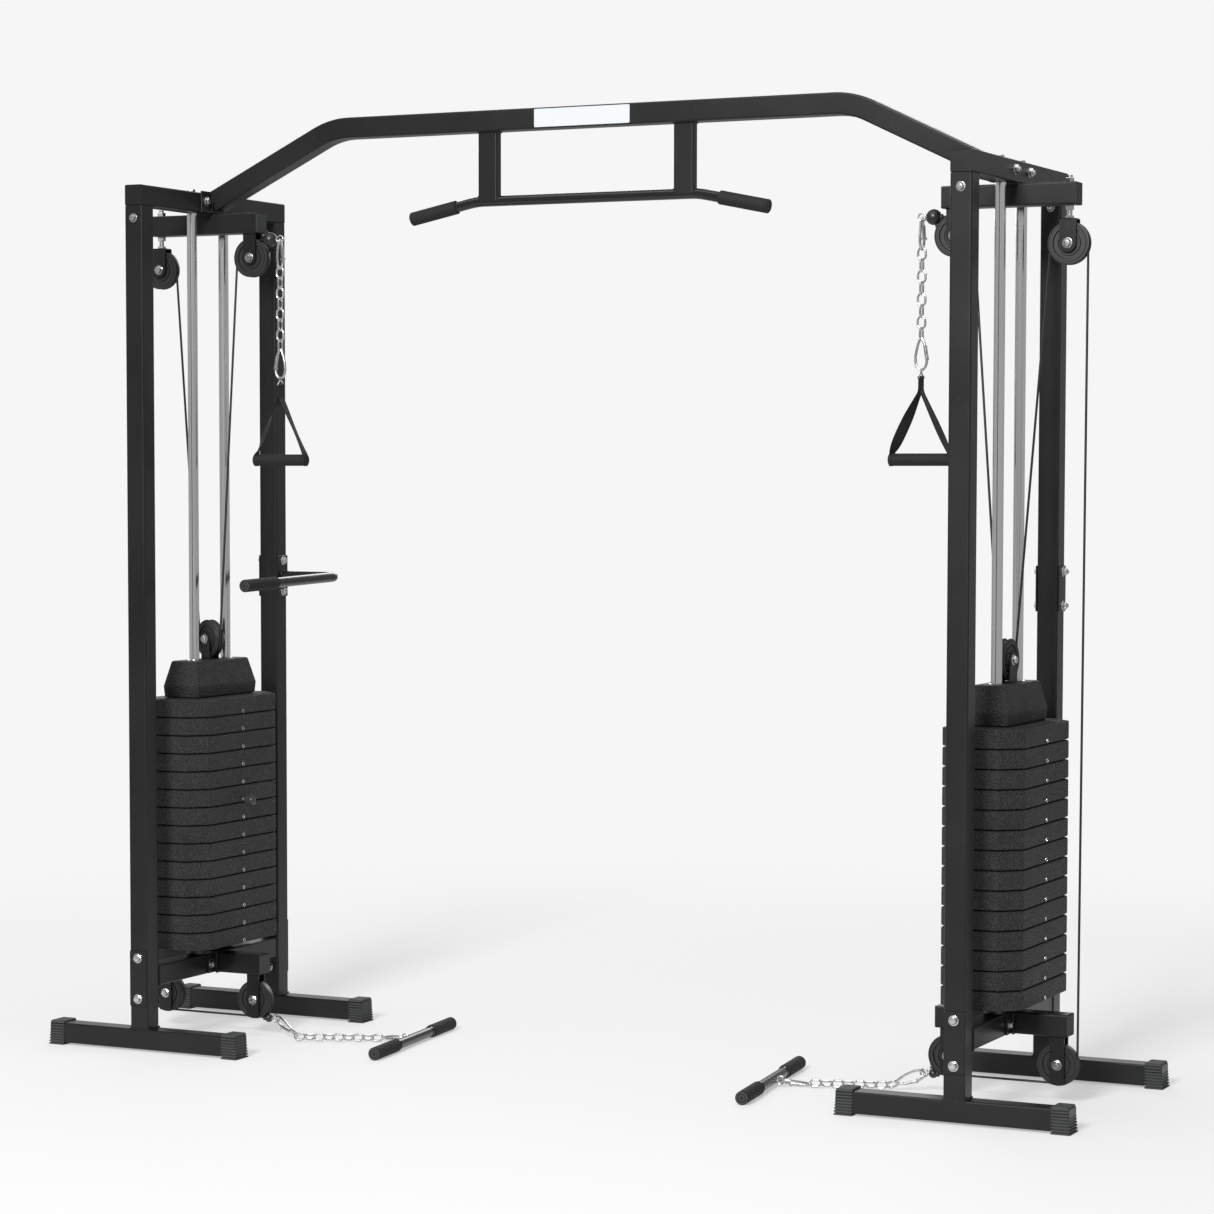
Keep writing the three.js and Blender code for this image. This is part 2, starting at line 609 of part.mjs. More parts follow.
// The crossbar with its end flanges, two hangers and the pull-up bar with its two grips.
function crossbar() {
  const endX = towerX - half - gap;
  const flanges = bothSides((side) => box(side * (endX - plate), side * endX,
    -bridge.flangeHalf, bridge.flangeHalf, topTubeBottom + lap, frameTop + bridge.flangeOver));
  const hangers = bothSides((side) => box(side * pullUp.hangerX - half, side * pullUp.hangerX + half,
    -pullUp.hangerHalf, pullUp.hangerHalf, pullUp.z, bridge.topZ - half + lap));
  const fall = (pullUp.z - pullUp.endZ) / (pullUp.endX - pullUp.bendX);
  const onBar = (x) => [x, 0, pullUp.z - Math.max(0, Math.abs(x) - pullUp.bendX) * fall];
  const bar = roundBar([-pullUp.endX, -pullUp.bendX, pullUp.bendX, pullUp.endX].map(onBar),
    pullUp.radius, pullUp.bendReach);
  const grips = bothSides((side) => rodBetween(onBar(side * pullUp.gripStart),
    onBar(side * pullUp.gripEnd), pullUp.gripRadius));
  return cut(join(bridgeTube(0), ...flanges, ...hangers, bar, ...grips), bridgeTube(wall));
}

// A bent handle whose plate is bolted to the inner side of the left tower's rear leg.
function balanceHandle() {
  const { z, plateHalf, elbowX, endX, endY, drop } = balance;
  const nearX = half + gap - towerX;
  const flange = box(nearX, nearX + plate, legY - half, legY + half, z - plateHalf, z + plateHalf);
  const elbow = [elbowX, legY, z];
  const end = [endX, endY, z - drop];
  const bar = roundBar([[nearX + plate / 2, legY, z], elbow, end], balance.radius, balance.bendReach);
  const forward = (share) => vector(elbow).lerp(vector(end), share).toArray();
  const grip = rodBetween(forward(balance.gripStart), forward(balance.gripEnd), balance.gripRadius);
  return join(flange, bar, grip);
}

const machine = new THREE.Group();
machine.add(tower("left", -1), tower("right", 1));
const shared = { crossbar: ["paint", crossbar], balance_handle: ["gloss", balanceHandle] };
for (const [name, [look, make]] of Object.entries(shared)) {
  const mesh = new THREE.Mesh(make(), new THREE.MeshStandardMaterial(looks[look]));
  mesh.name = name;
  machine.add(mesh);
}

export default machine;
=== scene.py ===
import json
import math
import bmesh
import bpy
from mathutils import Matrix, Vector


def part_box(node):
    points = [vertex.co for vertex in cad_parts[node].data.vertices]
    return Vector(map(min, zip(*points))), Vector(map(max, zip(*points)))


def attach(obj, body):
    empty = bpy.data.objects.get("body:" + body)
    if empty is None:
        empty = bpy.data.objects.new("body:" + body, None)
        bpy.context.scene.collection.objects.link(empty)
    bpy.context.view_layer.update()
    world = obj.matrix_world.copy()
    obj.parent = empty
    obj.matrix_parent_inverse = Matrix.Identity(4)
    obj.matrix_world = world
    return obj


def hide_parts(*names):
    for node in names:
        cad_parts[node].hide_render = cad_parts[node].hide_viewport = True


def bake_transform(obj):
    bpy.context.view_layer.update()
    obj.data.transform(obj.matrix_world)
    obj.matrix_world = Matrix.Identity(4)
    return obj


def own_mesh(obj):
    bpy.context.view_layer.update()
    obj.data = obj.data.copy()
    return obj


# Cable crossover machine. Metres, +Z up, +X right, -Y front. Each tower is drawn round its own
# centre line, with the first coordinate pointing outward, and put in place by its side.
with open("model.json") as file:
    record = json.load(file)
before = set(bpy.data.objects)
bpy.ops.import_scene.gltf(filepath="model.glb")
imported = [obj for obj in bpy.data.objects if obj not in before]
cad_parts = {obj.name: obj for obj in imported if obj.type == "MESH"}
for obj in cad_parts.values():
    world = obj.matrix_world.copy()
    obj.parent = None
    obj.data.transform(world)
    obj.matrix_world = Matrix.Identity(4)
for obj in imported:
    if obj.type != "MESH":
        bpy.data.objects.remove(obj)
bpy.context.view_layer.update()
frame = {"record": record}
print("frame loaded")


def middle(node, axis):
    low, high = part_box(node)
    return (low[axis] + high[axis]) / 2


towerX = abs(middle("left_top_tube", 0))
legY = abs(middle("left_front_leg", 1))
half = (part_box("left_top_tube")[1][0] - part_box("left_top_tube")[0][0]) / 2
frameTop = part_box("left_top_tube")[1][2]
tubeBottom = frameTop - 2 * half
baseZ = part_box("left_front_guide_rod")[0][2] - half
tubeCorner = 0.0045
gap = 0.0003  # left between pieces that are bolted or welded together
joints = {joint["name"]: joint for joint in frame["record"]["behaviour"]["joints"]}
xAxis = Vector((1, 0, 0))
yAxis = Vector((0, 1, 0))
zAxis = Vector((0, 0, 1))


# The camera, the light and the floor

studio = dict(place=(3.4943, -7.1265, 1.4077), down=3.498, turn=25.758, roll=-0.086, lens=99.02,
              shiftY=0.06, seen=(0.922, 0.922, 0.922, 1), ambient=0.4, lampsAim=(0, 0, 1.1),
              floorRadius=9.0, fadeFrom=1.6, fadeTo=4.6, floorTone=0.4, floorGlow=0.42)
lamps = [dict(name="overhead", place=(0, -0.6, 5.2), size=(6.0, 3.0), power=90),
         dict(name="front", place=(1.0, -10.5, 6.4), size=(2.8, 2.4), power=1500),
         dict(name="behind", place=(-2.5, 5.5, 3.6), size=(5.0, 2.4), power=120)]


def makeStudio():
    scene = bpy.context.scene
    camera = bpy.data.objects.new("camera", bpy.data.cameras.new("camera"))
    camera.data.lens = studio["lens"]
    camera.data.shift_y = studio["shiftY"]
    camera.location = studio["place"]
    camera.rotation_euler = [math.radians(angle) for angle in
                             (90 - studio["down"], studio["roll"], studio["turn"])]
    scene.collection.objects.link(camera)
    scene.camera = camera
    scene.view_settings.view_transform = "Standard"
    for lamp in lamps:
        light = bpy.data.lights.new(lamp["name"], "AREA")
        light.shape = "RECTANGLE"
        light.size, light.size_y = lamp["size"]
        light.energy = lamp["power"]
        holder = bpy.data.objects.new(lamp["name"], light)
        holder.location = lamp["place"]
        aim = Vector(studio["lampsAim"]) - holder.location
        holder.rotation_euler = aim.to_track_quat("-Z", "Y").to_euler()
        scene.collection.objects.link(holder)
    sky = Sky("studio")
    scene.world = sky.world
    glow = sky.node("ShaderNodeBackground", {},
                    {"Color": (1, 1, 1, 1), "Strength": studio["ambient"]})
    backdrop = sky.node("ShaderNodeBackground", {}, {"Color": studio["seen"]})
    seen = sky.node("ShaderNodeLightPath", output="Is Camera Ray")
    mixed = sky.node("ShaderNodeMixShader", {}, {0: seen, 1: glow, 2: backdrop})
    sky.feed(sky.tree.nodes["World Output"].inputs["Surface"], mixed)


# Shader graphs: a value wraps a socket, so that maths on it reads as maths

class Value:
    def __init__(self, graph, socket):
        self.graph = graph
        self.socket = socket

    def maths(self, operation, first, second):
        return self.graph.node("ShaderNodeMath", {"operation": operation}, {0: first, 1: second})

    def __add__(self, other):
        return self.maths("ADD", self, other)

    def __mul__(self, other):
        return self.maths("MULTIPLY", self, other)

    def __sub__(self, other):
        return self.maths("SUBTRACT", self, other)

    def __rsub__(self, other):
        return self.maths("SUBTRACT", other, self)

    __radd__ = __add__
    __rmul__ = __mul__


class Graph:
    def __init__(self, name, **sockets):
        self.material = bpy.data.materials.new(name)
        self.material.use_nodes = True
        self.tree = self.material.node_tree
        self.shader = self.tree.nodes["Principled BSDF"]
        for key, value in sockets.items():
            self.shader.inputs[key.replace("_", " ")].default_value = value
        self.where = self.node("ShaderNodeTexCoord", output="Object")

    def node(self, kind, settings=None, sockets=None, output=0):
        made = self.tree.nodes.new(kind)
        for key, value in (settings or {}).items():
            if key == "stops":
                for stop, (spot, shade) in zip(made.color_ramp.elements, value):
                    stop.position = spot
                    stop.color = (shade, shade, shade, 1)
            else:
                setattr(made, key, value)
        for key, value in (sockets or {}).items():
            self.feed(made.inputs[key], value)
        return Value(self, made.outputs[output])

    def feed(self, socket, value):
        if isinstance(value, Value):
            self.tree.links.new(value.socket, socket)
        else:
            socket.default_value = value

    def noise(self, scale, detail=3.0, distortion=0.0):
        return self.node("ShaderNodeTexNoise", {}, {"Vector": self.where, "Scale": scale,
                                                    "Detail": detail, "Distortion": distortion})

    def step(self, value, start, end):
        return self.node("ShaderNodeValToRGB", {"stops": [(start, 0), (end, 1)]}, {"Fac": value})

    def blend(self, share, first, second):
        return self.node("ShaderNodeMix", {"data_type": "RGBA"}, {0: share, 6: first, 7: second}, 2)

    def finish(self, color, rough, height=None, depth=0.0002, strength=0.5):
        self.feed(self.shader.inputs["Base Color"], color)
        self.feed(self.shader.inputs["Roughness"], rough)
        if height:
            bump = self.node("ShaderNodeBump", {}, {"Height": height, "Distance": depth,
                                                    "Strength": strength})
            self.feed(self.shader.inputs["Normal"], bump)
        return self.material


class Sky(Graph):
    def __init__(self, name):
        self.world = bpy.data.worlds.new(name)
        self.world.use_nodes = True
        self.tree = self.world.node_tree
        self.tree.nodes.remove(self.tree.nodes["Background"])


def grey(level, warmth=0.0):
    return (level * (1 + warmth), level, level * (1 - warmth), 1)


# Plain finishes: the darkest and lightest tone, the lowest roughness and its spread, and the grain.
# All of them share the same clouds of tone and small rubbed spots.

surface = dict(cloud=5, wear=70, wearFrom=0.62, wearTo=0.74, wornTone=1.8, wornRough=0.08)
finishes = dict(
    framePaint=dict(dark=0.005, light=0.011, rough=(0.27, 0.17), grain=1100, depth=0.00012,
                    shine=0.32, slot="frame_paint"),
    glossPaint=dict(dark=0.005, light=0.009, rough=(0.1, 0.1), grain=500, depth=0.00005,
                    slot="bar_paint"),
    capRubber=dict(dark=0.03, light=0.055, rough=(0.58, 0.2), grain=1500, depth=0.0002,
                   shine=0.3, slot="foot_rubber"),
    wheelPlastic=dict(dark=0.01, light=0.018, rough=(0.36, 0.18), grain=1300, depth=0.00008,
                      slot="wheel_plastic"),
    # The knob is the wheels' plastic painted lighter, as a painted highlight, and glossier
    knobPlasticPaintedHighlight=dict(dark=0.028, light=0.045, rough=(0.16, 0.12), grain=900, depth=0.00005,
                     slot="wheel_plastic"),
    sheath=dict(dark=0.007, light=0.012, rough=(0.34, 0.14), grain=900, depth=0.00008,
                slot="cable_sheath"),
    stopRubber=dict(dark=0.008, light=0.014, rough=(0.3, 0.15), grain=700, depth=0.0001,
                    slot="stop_rubber"),
    gripFoam=dict(dark=0.008, light=0.014, rough=(0.66, 0.2), grain=1900, depth=0.0003,
                  shine=0.3, slot="bar_paint"),
    labelWhite=dict(dark=0.55, light=0.6, rough=(0.3, 0.1), grain=600, depth=0.00003,
                    scuff=0.0, slot="frame_paint"),
)
finishSlots = {name: finish["slot"] for name, finish in finishes.items()}
finishSlots.update(chrome="rod_chrome", zinc="zinc", plateShell="plate_shell", webbing="webbing")


def plainFinish(name):
    finish = finishes[name]
    graph = Graph(name, Specular_IOR_Level=finish.get("shine", 0.5))
    cloud = graph.noise(surface["cloud"], 4)
    wear = graph.step(graph.noise(surface["wear"], 8, 1.5), surface["wearFrom"], surface["wearTo"])
    tone = graph.blend(cloud, grey(finish["dark"], -0.03), grey(finish["light"], -0.03))
    worn = grey(min(0.9, finish["light"] * surface["wornTone"]))
    color = graph.blend(wear * finish.get("scuff", 0.25), tone, worn)
    low, spread = finish["rough"]
    rough = cloud * spread + wear * surface["wornRough"] + low
    return graph.finish(color, rough, graph.noise(finish["grain"], 2), finish["depth"])


def chromeFinish():
    graph = Graph("chrome", Metallic=1.0)
    drawn = graph.node("ShaderNodeMapping", {}, {"Vector": graph.where, "Scale": (30, 30, 2)})
    streak = graph.node("ShaderNodeTexNoise", {}, {"Vector": drawn, "Scale": 1.0, "Detail": 2.0})
    color = graph.blend(streak, grey(0.7), grey(0.86, -0.01))
    return graph.finish(color, streak * 0.06 + 0.12)


def zincFinish():
    graph = Graph("zinc", Metallic=1.0)
    cloud = graph.noise(120, 4)
    pits = graph.step(graph.noise(650, 3), 0.55, 0.75)
    color = graph.blend(cloud, grey(0.4, 0.01), grey(0.72))
    return graph.finish(color, cloud * 0.16 + pits * 0.1 + 0.14, graph.noise(900, 2), 0.0001)


# Pebbled shell: cells about 4 mm wide with fine grain over them, and crowns painted paler as a
# painted highlight, and made smoother
def plateFinish():
    graph = Graph("plateShell", Specular_IOR_Level=0.3)
    cells = graph.node("ShaderNodeTexVoronoi", {"feature": "SMOOTH_F1"},
                       {"Vector": graph.where, "Scale": 250.0, "Smoothness": 0.5})
    crown = 1 - cells
    fine = graph.noise(520, 3)
    cloud = graph.noise(9, 4)
    tone = graph.blend(cloud, grey(0.008), grey(0.018))
    # Painted highlight: the tops of the pebbles are painted paler where light would catch them
    paintedCrownHighlight = graph.step(crown * 0.6 + fine * 0.6, 0.6, 0.86)
    color = graph.blend(paintedCrownHighlight * 0.45, tone, grey(0.075))
    return graph.finish(color, 0.6 - paintedCrownHighlight * 0.2 - cloud * 0.08, crown + fine * 0.8, 0.003, 1.0)


# Woven band: picks across and warp ends along, both about a millimetre apart
def webbingFinish():
    graph = Graph("webbing", Sheen_Weight=0.08, Specular_IOR_Level=0.2)
    picks = graph.node("ShaderNodeTexWave", {"bands_direction": "Z"},
                       {"Vector": graph.where, "Scale": 260.0, "Distortion": 0.4})
    warp = graph.node("ShaderNodeTexWave", {"bands_direction": "Y"},
                      {"Vector": graph.where, "Scale": 210.0, "Distortion": 0.4})
    weave = picks * 0.6 + warp * 0.4
    color = graph.blend(weave, grey(0.003), grey(0.014))
    return graph.finish(color, 0.92 - weave * 0.12, weave, 0.0005, 0.8)


materials = {name: plainFinish(name) for name in finishes}
materials.update(chrome=chromeFinish(), zinc=zincFinish(), plateShell=plateFinish(),
                 webbing=webbingFinish())
print("finishes made:", len(materials))


# Outlines and paths

def circle(radius, sides=24):
    return [(radius * math.cos(2 * math.pi * i / sides), radius * math.sin(2 * math.pi * i / sides))
            for i in range(sides)]


# The short curve that rounds off one corner
def roundCorner(before, corner, after, reach, steps):
    here = Vector(corner)
    back = (Vector(before) - here).normalized() * reach + here
    ahead = (Vector(after) - here).normalized() * reach + here
    shares = [i / steps for i in range(steps + 1)]
    return [back.lerp(here, share).lerp(here.lerp(ahead, share), share) for share in shares]


# A closed outline with each corner rounded off
def rounded(corners, reach, steps=4):
    points = []
    for i, corner in enumerate(corners):
        points += roundCorner(corners[i - 1], corner, corners[(i + 1) % len(corners)], reach, steps)
    return points


def roundRect(halfA, halfB, radius=0.004, steps=4):
    corners = [(-halfA, -halfB), (halfA, -halfB), (halfA, halfB), (-halfA, halfB)]
    return rounded(corners, radius, steps)


# An open path whose inner corners are rounded off
def bentPath(corners, reach, steps=8):
    points = [Vector(corners[0])]
    for before, corner, after in zip(corners, corners[1:], corners[2:]):
        points += roundCorner(before, corner, after, reach, steps)
    return points + [Vector(corners[-1])]


# The same path with its points no further apart than a given step
def evenly(points, step):
    made = []
    for start, end in zip(points, points[1:]):
        steps = max(1, math.ceil((end - start).length / step))
        made += [start.lerp(end, i / steps) for i in range(steps)]
    return made + [points[-1]]


def straight(start, end, steps):
    return [Vector(start).lerp(Vector(end), i / steps) for i in range(steps + 1)]


# An arc about a wheel's axle, in degrees from outward over the top; lean turns its plane
def around(centre, radius, fromTurn, toTurn, steps, lean=0.0):
    points = []
    for i in range(steps + 1):
        turn = math.radians(fromTurn + (toTurn - fromTurn) * i / steps)
        reach = radius * math.cos(turn)
        points.append(Vector((centre[0] + reach * math.cos(lean), reach * math.sin(lean),
                              centre[2] + radius * math.sin(turn))))
    return points


weld = dict(radius=0.0024, pitch=0.0028, swell=0.22, beat=1.9, level=Vector((0.31, 0.52, 0.8)))


# One visible piece: its shapes are gathered in one mesh, drawn for the right side and put on a side
class Piece:
    def __init__(self, side=0, place=None):
        self.mesh = bmesh.new()
        self.side = side
        self.place = place or Matrix()

    def vert(self, point):
        spot = self.place @ Vector(point)
        if self.side:
            spot.x = self.side * (towerX + spot.x)
        return self.mesh.verts.new(spot)

    def loft(self, rings, loop=False, capped=True):
        made = [[self.vert(point) for point in ring] for ring in rings]
        count = len(made[0])
        pairs = list(zip(made, made[1:])) + ([(made[-1], made[0])] if loop else [])
        for low, high in pairs:
            for i in range(count):
                j = (i + 1) % count
                self.mesh.faces.new((low[i], low[j], high[j], high[i]))
        if capped and not loop:
            self.mesh.faces.new(made[0][::-1])
            self.mesh.faces.new(made[-1])

    # A section carried along a path; level is the direction that its first axis keeps to
    def sweep(self, points, section, level=yAxis, loop=False, swell=None, twist=None):
        points = [Vector(point) for point in points]
        last = len(points) - 1
        rings = []
        for i, point in enumerate(points):
            before = points[i - 1] if loop or i else point
            after = points[(i + 1) % len(points)] if loop or i < last else point
            along = (after - before).normalized()
            across = (level - along * level.dot(along)).normalized()
            third = along.cross(across)
            turn = twist(point) if twist else 0
            across, third = (across * math.cos(turn) + third * math.sin(turn),
                             third * math.cos(turn) - across * math.sin(turn))
            size = swell(i) if swell else 1
            rings.append([point + (across * a + third * b) * size for a, b in section])
        self.loft(rings, loop)

    # A profile of (radius, height) pairs turned about an axis
    def lathe(self, profile, centre, axis=zAxis, sides=32, loop=False):
        axis = Vector(axis).normalized()
        across = axis.orthogonal().normalized()
        third = axis.cross(across)
        centre = Vector(centre)
        self.loft([[centre + axis * height + (across * a + third * b) * radius
                    for a, b in circle(1, sides)] for radius, height in profile], loop)

    def rod(self, start, end, radius, sides=24, edge=0.0008):
        along = Vector(end) - Vector(start)
        length = along.length
        self.lathe([(radius - edge, 0), (radius, edge), (radius, length - edge),
                    (radius - edge, length)], start, along, sides)

    def block(self, low, high, edge=0.0012):
        low, high = [Vector(pick(a, b) for a, b in zip(low, high)) for pick in (min, max)]
        centre = (low + high) / 2
        reach = (high - low) / 2
        corner = min(edge * 1.5, reach.x, reach.y)
        levels = ((edge, -reach.z), (0, edge - reach.z), (0, reach.z - edge), (edge, reach.z))
        rings = []
        for inset, z in levels:
            outline = roundRect(reach.x - inset, reach.y - inset, corner, 2)
            rings.append([(centre.x + x, centre.y + y, centre.z + z) for x, y in outline])
        self.loft(rings)

    # A square tube from one centre point to another
    def tube(self, start, end, level=yAxis):
        self.sweep([start, end], roundRect(half, half, tubeCorner), level)

    # A weld bead with its ripples along a path
    def bead(self, corners, radius=weld["radius"], loop=True):
        ends = corners + corners[:1] if loop else corners
        points = []
        for start, end in zip(ends, ends[1:]):
            steps = max(2, round((Vector(end) - Vector(start)).length / weld["pitch"]))
            points += straight(start, end, steps)[:-1]
        if not loop:
            points.append(Vector(ends[-1]))
        self.sweep(points, circle(radius, 8), weld["level"], loop,
                   lambda i: 1 + weld["swell"] * math.sin(i * weld["beat"]))

    # Washer, hexagon head and a shallow dome on it
    def bolt(self, centre, axis, size=0.0085, height=0.0065):
        centre = Vector(centre)
        axis = Vector(axis).normalized()
        rise = centre + axis * 0.0016
        washer = [(1.32, 0), (1.38, 0.0004), (1.38, 0.0014), (1.3, 0.0018)]
        head = [(1.12, 0), (1.12, height * 0.75), (0.98, height)]
        dome = [(0.8, 0), (0.72, 0.0007), (0.3, 0.0011)]
        shapes = ((washer, centre, 32), (head, rise, 6), (dome, rise + axis * height, 32))
        for profile, start, sides in shapes:
            self.lathe([(size * share, z) for share, z in profile], start, axis, sides)

    # A nut with the end of its bolt showing
    def nut(self, centre, axis, size=0.0085, height=0.008):
        self.bolt(centre, axis, size, height)
        tip = Vector(centre) + Vector(axis).normalized() * height
        self.rod(tip, tip + Vector(axis).normalized() * 0.006, size * 0.56, 16)

    # A link of round wire with round ends, or a pear where it swells, centred on a point
    def link(self, centre, along, side, length, width, wire, swell=0.0, steps=28):
        points = []
        straightHalf = 0 if swell else (length - width) / 2
        for i in range(steps):
            turn = 2 * math.pi * i / steps
            shift = straightHalf if math.cos(turn) > 0 else -straightHalf
            reach = (width / 2 - wire) * (1 + swell * math.cos(turn))
            far = length / 2 - wire - straightHalf
            spot = centre + along * (shift + far * math.cos(turn))
            points.append(spot + side * reach * math.sin(turn))
        self.sweep(points, circle(wire, 10), along.cross(side), loop=True)

    def finish(self, name, finish, body="frame", nodes=(), ride=True, crisp=True):
        bmesh.ops.remove_doubles(self.mesh, verts=self.mesh.verts, dist=0.0000005)
        bmesh.ops.recalc_face_normals(self.mesh, faces=self.mesh.faces)
        data = bpy.data.meshes.new(name)
        self.mesh.to_mesh(data)
        self.mesh.free()
        data.shade_smooth()
        data.set_sharp_from_angle(angle=math.radians(34))
        data.materials.append(materials[finish])
        made = bpy.data.objects.new(name, data)
        bpy.context.scene.collection.objects.link(made)
        if crisp:  # keeps flat faces flat between soft edges
            flats = made.modifiers.new("flats", "WEIGHTED_NORMAL")
            flats.keep_sharp = True
        if ride:
            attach(made, body)
        if nodes:
            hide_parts(*nodes)
        return made


def rectLoop(halfA, halfB, z, x=0.0, y=0.0):
    return [(x + a * halfA, y + b * halfB, z) for a, b in ((-1, -1), (1, -1), (1, 1), (-1, 1))]


# Legs, feet and the top tube

leg = dict(footTop=0.055, inner=0.276, frontOuter=0.261, rearOuter=0.286, plateLow=0.112,
           plateHigh=0.248, plate=0.004, inset=0.0015, flange=0.0045, boltLow=0.13, boltHigh=0.23,
           topBoltZ=2.026, topBolt=0.0078, topNut=0.0075)
footCap = dict(length=0.045, over=0.004, halfWidth=0.029, taper=0.0018, height=0.06, slope=0.003,
               corner=0.003, edge=0.0018, ribs=8, ribbed=0.054, groove=0.003)


def makeLeg(name, side, row, sign):
    y = sign * legY
    outer = leg["frontOuter"] if sign < 0 else leg["rearOuter"]
    footZ = leg["footTop"] - half
    piece = Piece(side)
    piece.tube((0, y, leg["footTop"] - 0.001), (0, y, tubeBottom - gap))
    piece.tube((-leg["inner"], y, footZ), (outer, y, footZ))
    piece.bead(rectLoop(half, half, leg["footTop"] + 0.0008, 0, y))
    piece.finish(f"{name}_{row}_legTube", "framePaint", nodes=[f"{name}_{row}_leg"])
    face = sign * (legY + half)
    backing = Piece(side)
    backing.block((leg["inset"] - half, face, leg["plateLow"]),
                  (half - leg["inset"], face + sign * leg["plate"], leg["plateHigh"]))
    backing.finish(f"{name}_{row}_backingPlate", "framePaint")
    bolts = Piece(side)
    for z in (leg["boltLow"], leg["boltHigh"]):
        bolts.bolt((0, face + sign * leg["plate"], z), (0, sign, 0))
        bolts.nut((0, sign * (legY - half - leg["flange"]), z), (0, -sign, 0))
    bolts.bolt((0, face, leg["topBoltZ"]), (0, sign, 0), leg["topBolt"])
    bolts.nut((0, sign * (legY - half), leg["topBoltZ"]), (0, -sign, 0), leg["topNut"])
    bolts.finish(f"{name}_{row}_legBolts", "zinc")


# A rubber sleeve with square ribs round it and a smooth crown
def makeFootCap(name, side, row, sign, end, direction):
    reach = leg["inner"] if direction < 0 else leg["frontOuter"] if sign < 0 else leg["rearOuter"]
    reach += footCap["over"]
    pitch = footCap["ribbed"] / footCap["ribs"]
    steps = [(0.0, 0.0012), (0.0008, 0.0)]
    for i in range(footCap["ribs"]):
        top = (i + 1) * pitch
        steps += [(top - pitch * 0.52, 0.0), (top - pitch * 0.42, footCap["groove"]),
                  (top - pitch * 0.1, footCap["groove"]), (top, 0.0)]
    steps += [(footCap["height"] - 0.0016, 0.0), (footCap["height"], footCap["edge"])]
    rings = []
    for z, inset in steps:
        share = z / footCap["height"]
        slope = footCap["slope"] * share
        centre = direction * (reach - footCap["length"] / 2 - slope)
        deep = footCap["length"] / 2 - inset - slope
        wide = footCap["halfWidth"] - inset - footCap["taper"] * share
        outline = roundRect(deep, wide, footCap["corner"])
        rings.append([(centre + x, sign * legY + y, z) for x, y in outline])
    piece = Piece(side)
    piece.loft(rings)
    piece.finish(f"{name}_{row}_{end}_ribbedCap", "capRubber",
                 nodes=[f"{name}_{row}_{end}_foot_cap"])


rail = dict(endPlate=0.002, inset=0.001, boltY=0.072, nutY=0.05, nutDrop=0.021)


def makeTopTube(name, side):
    reach = legY + half
    end = reach - 0.0015
    piece = Piece(side)
    z = frameTop - half
    piece.tube((0, -end, z), (0, end, z), xAxis)
    inset = rail["inset"]
    for sign in (-1, 1):
        piece.block((inset - half, sign * (reach - rail["endPlate"]), tubeBottom + inset),
                    (half - inset, sign * reach, frameTop - inset))
        seam = sign * (legY - half)
        piece.bead([(-half, seam, tubeBottom), (half, seam, tubeBottom)], loop=False)
    piece.finish(f"{name}_topRail", "framePaint", nodes=[f"{name}_top_tube"])
    bolts = Piece(side)
    for sign in (-1, 1):
        bolts.bolt((0, sign * rail["boltY"], frameTop), zAxis)
        bolts.nut((half, sign * rail["nutY"], frameTop - rail["nutDrop"]), xAxis)
    bolts.finish(f"{name}_topBolts", "zinc")


# Beams, yokes and wheels

wheels = dict(halfWidth=0.01, bore=0.007, seat=0.0125, pitch=0.0433, bottomX=0.13, bottomZ=0.092,
              cheek=0.012, thickness=0.003, axle=0.006, bolt=0.0085)
# A wheel's face from its bearing seat to its rim, as radius and depth, and the half of its groove
wheelFace = [(0.0125, 0), (0.0155, 0), (0.0167, 0.003), (0.0228, 0.003), (0.024, 0.0006),
             (0.0272, 0.0006), (0.0284, 0.0042), (0.0345, 0.0042), (0.036, 0.0002),
             (0.0402, 0.0002), (0.0414, 0.0022), (0.0448, 0.0022), (0.0456, 0.001),
             (0.0472, 0.0012), (0.048, 0.0022)]
wheelGroove = [(0.0445, 0.0062), (0.0412, 0.0038), (0.04, 0)]
innerWheel = (-0.13, 0, 1.946)
outerWheel = (0.136, 0, 1.922)
stackWheelZ = 0.997
stackTurn = dict(left=22, right=85)
beam = dict(reach=0.155, plug=0.0022, bridgeTop=1.976, studUp=2.072, studNut=0.0105,
            innerCheek=0.035, outerCheek=0.039, lowCheek=0.034, cheekY=0.015)


# The two side plates of a yoke, round at the wheel's end unless an end is given
def cheekPair(piece, x, z, farZ, width, endReach=0.0):
    halfWidth = width / 2
    for sign in (-1, 1):
        near = sign * wheels["cheek"]
        far = sign * (wheels["cheek"] + wheels["thickness"])
        corners = [(-halfWidth, farZ - z), (halfWidth, farZ - z)]
        if endReach:
            outline = rounded(corners + [(halfWidth, -endReach), (-halfWidth, -endReach)], 0.003)
        else:
            down = -1 if farZ > z else 1
            outline = corners + [(halfWidth * math.cos(math.pi * i / 14),
                                  down * halfWidth * math.sin(math.pi * i / 14)) for i in range(15)]
        piece.loft([[(x + a, y, z + b) for a, b in outline] for y in (near, far)])


def axleEnds(piece, x, z):
    outside = wheels["cheek"] + wheels["thickness"]
    piece.bolt((x, -outside, z), -yAxis, wheels["bolt"])
    piece.nut((x, outside, z), yAxis, wheels["bolt"])
    piece.rod((x, -outside, z), (x, outside, z), wheels["axle"])


